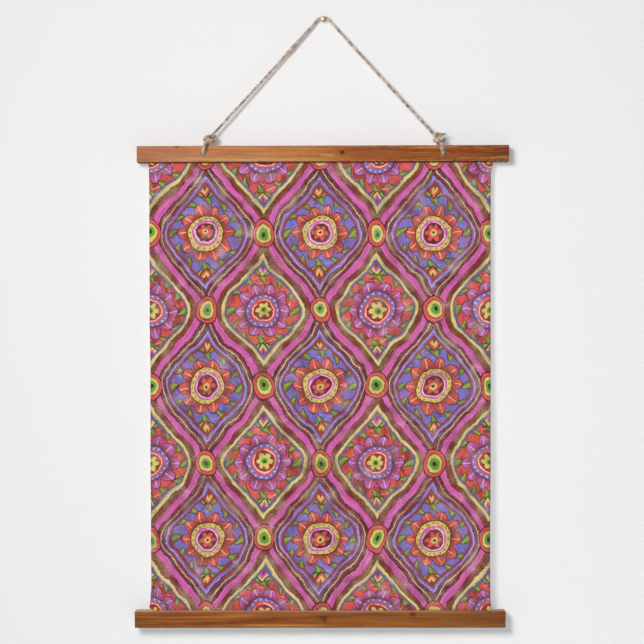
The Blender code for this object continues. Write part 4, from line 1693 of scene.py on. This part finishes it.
@dataclass
class Studio:
    """The camera, a plain wall and floor, and soft light."""

    eye: Triple = (-0.0017, -2.416, -0.5838)
    lens: float = 69.69
    stage_size: float = 12.0
    wall_y: float = 0.0002
    floor_z: float = -1.75
    key_place: Triple = (-0.73, -1.88, 0.09)
    key_aim: Triple = (0.5, 0.0, -0.4)
    key_size: float = 0.78
    key_watts: float = 7.16
    key_colour: Triple = (1.0, 0.962, 0.930)
    past_cloth: float = 0.32
    front_strength: float = 0.876
    front_colour: Triple = (0.833, 0.92, 1.0)
    front_angle: float = math.radians(30)
    fill_strength: float = 0.10
    backdrop: float = 0.78
    back_place: Triple = (0.4, 3.2, -0.2)
    back_size: float = 2.5
    back_watts: float = 52.0

    def camera(self) -> None:
        """Place the camera square on to the wall."""
        data = bpy.data.cameras.new("camera")
        data.lens = self.lens
        data.sensor_width = 36.0
        camera = link_object("camera", data)
        camera.location = self.eye
        camera.rotation_euler = (math.pi / 2, 0.0, 0.0)
        bpy.context.scene.camera = camera

    def plane(self, name: str, place: Matrix, finish: Finish) -> bpy.types.Object:
        """Add a square of wall or floor as a stage piece, and return it."""
        shape = bmesh.new()
        bmesh.ops.create_grid(shape, x_segments=1, y_segments=1, size=self.stage_size / 2)
        bmesh.ops.transform(shape, matrix=place, verts=shape.verts)
        mesh = to_mesh(shape, name)
        mesh.materials.append(finish.material())
        square = link_object(name, mesh)
        return square

    def lamp(self, name: str, kind: str, heading: Sequence[float], **settings: object) -> bpy.types.Object:
        """Add a light.

        Args:
            name: The light's name.
            kind: AREA or SUN.
            heading: The way that it shines.
            **settings: Its properties by name.

        Returns:
            The light's object.
        """
        data = bpy.data.lights.new(name, kind)
        for setting, value in settings.items():
            setattr(data, setting, value)
        lamp = link_object(name, data)
        lamp.rotation_euler = Vector(heading).to_track_quat("-Z", "Y").to_euler()
        return lamp

    def leave_out(self, piece: bpy.types.Object, name: str) -> bpy.types.Collection:
        """Return a new collection for a light's links that leaves one piece out of them."""
        left_out = bpy.data.collections.new(name)
        left_out.objects.link(piece)
        return left_out

    def lights(self, wall: bpy.types.Object) -> None:
        """Add a soft box high on the left, soft lights in front and behind, and a dim white surround.

        The wall glows by itself in place of the light in front, which would outline the rope on it.
        """
        aim = Vector(self.key_aim) - Vector(self.key_place)
        box = {"shape": "DISK", "size": self.key_size, "energy": self.key_watts, "color": self.key_colour}
        key = self.lamp("key", "AREA", aim, **box)
        key.location = self.key_place
        key.data.use_nodes = True
        graph = Graph(key.data.node_tree)
        steady = graph.read("ShaderNodeLightFalloff", 1.0, output="Constant")
        graph.feed(graph.tree.nodes["Emission"].inputs["Strength"], steady)
        sun = {"energy": self.front_strength, "color": self.front_colour, "angle": self.front_angle}
        front = self.lamp("front_fill", "SUN", (0.0, 1.0, 0.0), **sun)
        spared = self.leave_out(wall, "front_fill_spares")
        front.light_linking.receiver_collection = spared
        spared.collection_objects[0].light_linking.link_state = "EXCLUDE"
        glow = {"shape": "DISK", "size": self.back_size, "energy": self.back_watts}
        back = self.lamp("back_fill", "AREA", (0.0, -1.0, 0.0), **glow)
        back.location = self.back_place
        world = bpy.data.worlds.new("surround")
        world.use_nodes = True
        graph = Graph(world.node_tree)
        background = world.node_tree.nodes["Background"]
        rays = [graph.read("ShaderNodeLightPath", output=f"Is {kind} Ray") for kind in ("Camera", "Glossy")]
        strength = (rays[0] + rays[1]) * (self.backdrop - self.fill_strength) + self.fill_strength
        graph.feed(background.inputs["Color"], WHITE)
        graph.feed(background.inputs["Strength"], strength)
        bpy.context.scene.world = world

    def thin_shadow(self, cloth: bpy.types.Object) -> None:
        """Give a share of the key light to a twin that the thin canvas doesn't stop."""
        key = bpy.data.objects["key"]
        twin = link_object("key_past_cloth", key.data.copy())
        twin.location = key.location
        twin.rotation_euler = key.rotation_euler
        key.data.energy *= 1.0 - self.past_cloth
        twin.data.energy *= self.past_cloth
        passed = self.leave_out(cloth, "key_passes")
        twin.light_linking.blocker_collection = passed
        passed.collection_objects[0].light_linking.link_state = "EXCLUDE"

    def build(self) -> None:
        """Set the stage."""
        bpy.context.scene.view_settings.view_transform = "Standard"
        self.camera()
        upright = Matrix.Translation((0.0, self.wall_y, -0.6)) @ Matrix.Rotation(math.pi / 2, 4, "X")
        wall = self.plane("wall", upright, WallPaint())
        self.plane("floor", Matrix.Translation((0.0, -3.0, self.floor_z)), FloorPaint())
        self.lights(wall)


TOP_BACK_Y = -0.0058
BOTTOM_BACK_Y = TOP_BACK_Y - 0.0065
TOP_Z = -0.2610
BOTTOM_Z = -1.1528
TOP_TILT = math.radians(0.18)
BOTTOM_TILT = math.radians(0.04)

DARK_GRAIN = shade(96, 40, 18)
GOLD_GRAIN = shade(206, 142, 60)

TOP_WOOD = BarWood(
    name="top_bar_oiled_wood",
    middle_z=TOP_Z,
    tilt=TOP_TILT,
    tones=(
        (0.00, shade(178, 118, 86)),
        (0.14, shade(182, 126, 88)),
        (0.30, shade(182, 130, 84)),
        (0.46, shade(172, 113, 61)),
        (0.56, shade(152, 88, 34)),
        (0.75, shade(122, 60, 14)),
        (0.92, shade(108, 50, 10)),
        (1.00, shade(86, 38, 12)),
    ),
    knots=(
        Knot(0.0370, -0.2580, 0.0062, 0.0046, 0.0060, 0.90),
        Knot(-0.2800, -0.2475, 0.0060, 0.0026, 0.0030, 0.65),
    ),
    sweeps=(
        Sweep(0.010, -0.2540, 0.200, -0.2490, 0.0024, 0.55, DARK_GRAIN),
        Sweep(-0.012, -0.2625, 0.030, -0.2655, 0.0026, 0.75, GOLD_GRAIN),
        Sweep(-0.300, -0.2560, -0.180, -0.2600, 0.0034, 0.45, shade(188, 100, 52)),
        Sweep(-0.215, -0.2580, -0.080, -0.2545, 0.0030, 0.60, shade(186, 96, 40)),
        Sweep(-0.100, -0.2620, 0.010, -0.2600, 0.0034, 0.50, shade(196, 112, 32)),
        Sweep(-0.340, -0.2715, 0.030, -0.2715, 0.0026, 0.50, shade(214, 160, 104)),
        Sweep(0.060, -0.2640, 0.330, -0.2630, 0.0040, 0.45, shade(166, 90, 20)),
    ),
    pith=(0.0, 0.03, -0.332),
    ring_spacing=0.0042,
    late_colour=shade(130, 66, 32),
    late_share=0.30,
    gold=shade(192, 132, 56),
    red=shade(158, 76, 40),
    worn_colour=shade(200, 146, 120),
    worn_share=0.35,
    holes=((-0.2297, -0.2617), (0.2297, -0.2603)),
)

BOTTOM_WOOD = BarWood(
    name="bottom_bar_oiled_wood",
    middle_z=BOTTOM_Z,
    tilt=BOTTOM_TILT,
    tones=(
        (0.00, shade(112, 70, 34)),
        (0.05, shade(132, 76, 32)),
        (0.20, shade(146, 84, 34)),
        (0.40, shade(144, 86, 38)),
        (0.60, shade(142, 88, 38)),
        (0.80, shade(134, 84, 38)),
        (0.95, shade(122, 72, 34)),
        (1.00, shade(84, 48, 26)),
    ),
    knots=(
        Knot(0.0008, -1.1500, 0.0090, 0.0046, 0.0080, 0.62),
        Knot(0.0040, -1.1560, 0.0026, 0.0044, 0.0010, 0.55),
        Knot(0.1722, -1.1415, 0.0060, 0.0042, 0.0050, 0.80),
    ),
    sweeps=(
        Sweep(-0.290, -1.1640, -0.040, -1.1500, 0.0040, 0.62, DARK_GRAIN),
        Sweep(-0.075, -1.1510, 0.160, -1.1385, 0.0030, 0.60, DARK_GRAIN),
        Sweep(-0.310, -1.1500, -0.105, -1.1455, 0.0020, 0.40, GOLD_GRAIN),
        Sweep(-0.180, -1.1640, 0.030, -1.1640, 0.0022, 0.70, GOLD_GRAIN),
        Sweep(0.060, -1.1615, 0.340, -1.1610, 0.0024, 0.40, shade(178, 120, 56)),
        Sweep(-0.360, -1.1450, -0.150, -1.1400, 0.0022, 0.45, shade(120, 56, 24)),
        Sweep(-0.020, -1.1545, 0.120, -1.1560, 0.0028, 0.40, shade(170, 104, 44)),
        Sweep(0.130, -1.1500, 0.330, -1.1480, 0.0036, 0.35, shade(112, 58, 24)),
    ),
    pith=(0.0, 0.03, -1.232),
    ring_spacing=0.0060,
    late_colour=shade(104, 46, 20),
    late_share=0.40,
    gold=shade(166, 112, 46),
    red=shade(124, 58, 26),
    worn_colour=shade(166, 112, 70),
    worn_share=0.40,
)

LEFT_CENTRE = Vector((-0.2172, -0.0192, -0.2334))
LEFT_STUB = Vector((-0.2086, -0.0187, -0.2202))
RIGHT_CENTRE = Vector((0.2226, -0.0190, -0.2301))
RIGHT_STUB = Vector((0.2128, -0.0187, -0.2222))

LEFT_TURNS = (
    (-1.0, -5.5, -2.0, 1.0), (-3.0, -4.5, 4.0, 1.0), (-1.5, 2.0, 6.6, 1.15), (-5.4, 6.4, 4.0, 1.35),
    (-9.2, 4.5, -0.6, 1.35), (-7.4, 0.0, -4.8, 1.15), (-3.0, -6.0, -2.6, 1.0), (1.2, -4.5, 4.4, 1.0),
    (4.0, 1.5, 7.0, 1.15), (0.8, 8.0, 3.8, 1.30), (-2.8, 8.2, -2.0, 1.30), (-3.0, 2.0, -6.4, 1.15),
    (1.5, -6.0, -2.6, 1.0), (6.0, -4.5, 4.4, 1.0), (8.6, 1.0, 6.6, 1.10), (6.2, 8.0, 2.8, 1.20),
    (3.0, 8.2, -3.2, 1.25), (2.6, 2.0, -6.6, 1.10), (6.0, -5.0, -2.0, 1.0), (10.2, -3.0, 3.4, 1.0),
    (10.8, 2.5, 2.4, 1.0), (9.2, 4.5, -2.6, 1.0), (6.0, 0.0, -4.6, 1.0),
)

RIGHT_TURNS = (
    (0.0, -4.0, 0.0, 1.0), (-4.5, -5.0, 2.4, 1.0), (-7.8, 2.5, 4.2, 1.30), (-4.2, 7.6, 2.6, 1.40),
    (1.2, 8.8, 0.2, 1.40), (5.4, 6.2, -3.0, 1.30), (7.0, 1.0, -4.8, 1.10), (4.8, -4.5, -6.0, 1.0),
    (-1.0, -6.5, -6.0, 1.0), (-6.6, -4.0, -5.4, 1.10), (-7.6, 1.0, -4.8, 1.35), (-5.2, 5.4, -4.6, 1.45),
    (-1.2, 6.8, -5.4, 1.40), (2.4, 5.2, -6.6, 1.20), (3.6, 0.0, -5.4, 1.0), (2.4, -5.5, 0.0, 1.0),
    (-2.4, -6.0, 5.0, 1.0), (-6.6, -2.5, 6.4, 1.15), (-6.4, 1.6, 6.6, 1.30), (-2.6, 3.6, 7.2, 1.30),
    (1.9, 4.4, 6.8, 1.20), (5.6, 4.0, 6.0, 1.05), (8.2, 3.6, 7.4, 0.80),
)

LEFT_TUFTS = (
    Tuft((-0.2294, -0.0310, -0.2600), (0.2, -0.2, -1.0), 0.0026, 0.50, 0.0080, 22, 0.90),
    Tuft((-0.2340, -0.0290, -0.2600), (-1.0, -0.1, -0.3), 0.0012, 0.40, 0.0050, 8, 0.60, 2.0),
    Tuft((-0.2060, -0.0200, -0.2300), (1.0, -0.2, 0.2), 0.0020, 0.60, 0.0050, 14, 0.80),
    # The next two dark wisps, along the front strand's right side, stand in for its shadow on the bar:
    # painted shade.
    Tuft((-0.2226, -0.0325, -0.2445), (-0.15, -0.12, -1.0), 0.0020, 0.12, 0.0090, 26, 0.58, 1.5),
    Tuft((-0.2238, -0.0325, -0.2500), (-0.20, -0.12, -1.0), 0.0020, 0.12, 0.0085, 26, 0.58, 1.5),
)

RIGHT_TUFTS = (
    Tuft((0.2284, -0.0345, -0.2470), DOWN, 0.0018, 0.20, 0.0210, 9, 1.00, 2.4),
    Tuft((0.2292, -0.0335, -0.2520), DOWN, 0.0026, 0.32, 0.0150, 7, 0.64, 1.6),
    Tuft((0.2290, -0.0330, -0.2520), DOWN, 0.0034, 0.40, 0.0160, 18, 0.95),
    Tuft((0.2305, -0.0320, -0.2480), (1.0, -0.1, -0.35), 0.0030, 0.40, 0.0085, 14, 0.95, 1.6),
    Tuft((0.2296, -0.0228, -0.2232), (1.0, -0.1, 0.10), 0.0016, 0.20, 0.0096, 30, 0.85, 2.0),
    Tuft((0.2290, -0.0232, -0.2325), (1.0, -0.1, -0.30), 0.0020, 0.25, 0.0090, 28, 0.58, 2.0),
)


def main() -> None:
    """Build the hanging's sub-assemblies in order."""
    logging.basicConfig(level=logging.INFO, format="%(message)s")
    noise.seed_set(NOISE_SEED)
    studio = Studio()
    studio.build()
    top = Bar("top", 0.7145, 0.0, TOP_BACK_Y, TOP_Z, TOP_TILT, TOP_WOOD, hole_to_end=0.1276)
    bottom = Bar("bottom", 0.7095, -0.0052, BOTTOM_BACK_Y, BOTTOM_Z, BOTTOM_TILT, BOTTOM_WOOD)
    nail = Nail(Brass())
    twine = Twine(Jute())
    left = EndKnot(Side.LEFT, top, twine, LEFT_CENTRE, LEFT_STUB, LEFT_TURNS, LEFT_TUFTS, lean=0.60)
    right = EndKnot(Side.RIGHT, top, twine, RIGHT_CENTRE, RIGHT_STUB, RIGHT_TURNS, RIGHT_TUFTS, lean=0.40)
    Hanger(twine, LEFT_STUB, RIGHT_STUB, nail.shank_diameter).build([left, right])
    nail.build()
    slats = top.build() + bottom.build()
    cloth_print = ClothPrint()
    cloth = Cloth(top, bottom, cloth_print, ClothReverse(cloth_print)).build()
    studio.thin_shadow(cloth)


if __name__ == "__main__":
    main()
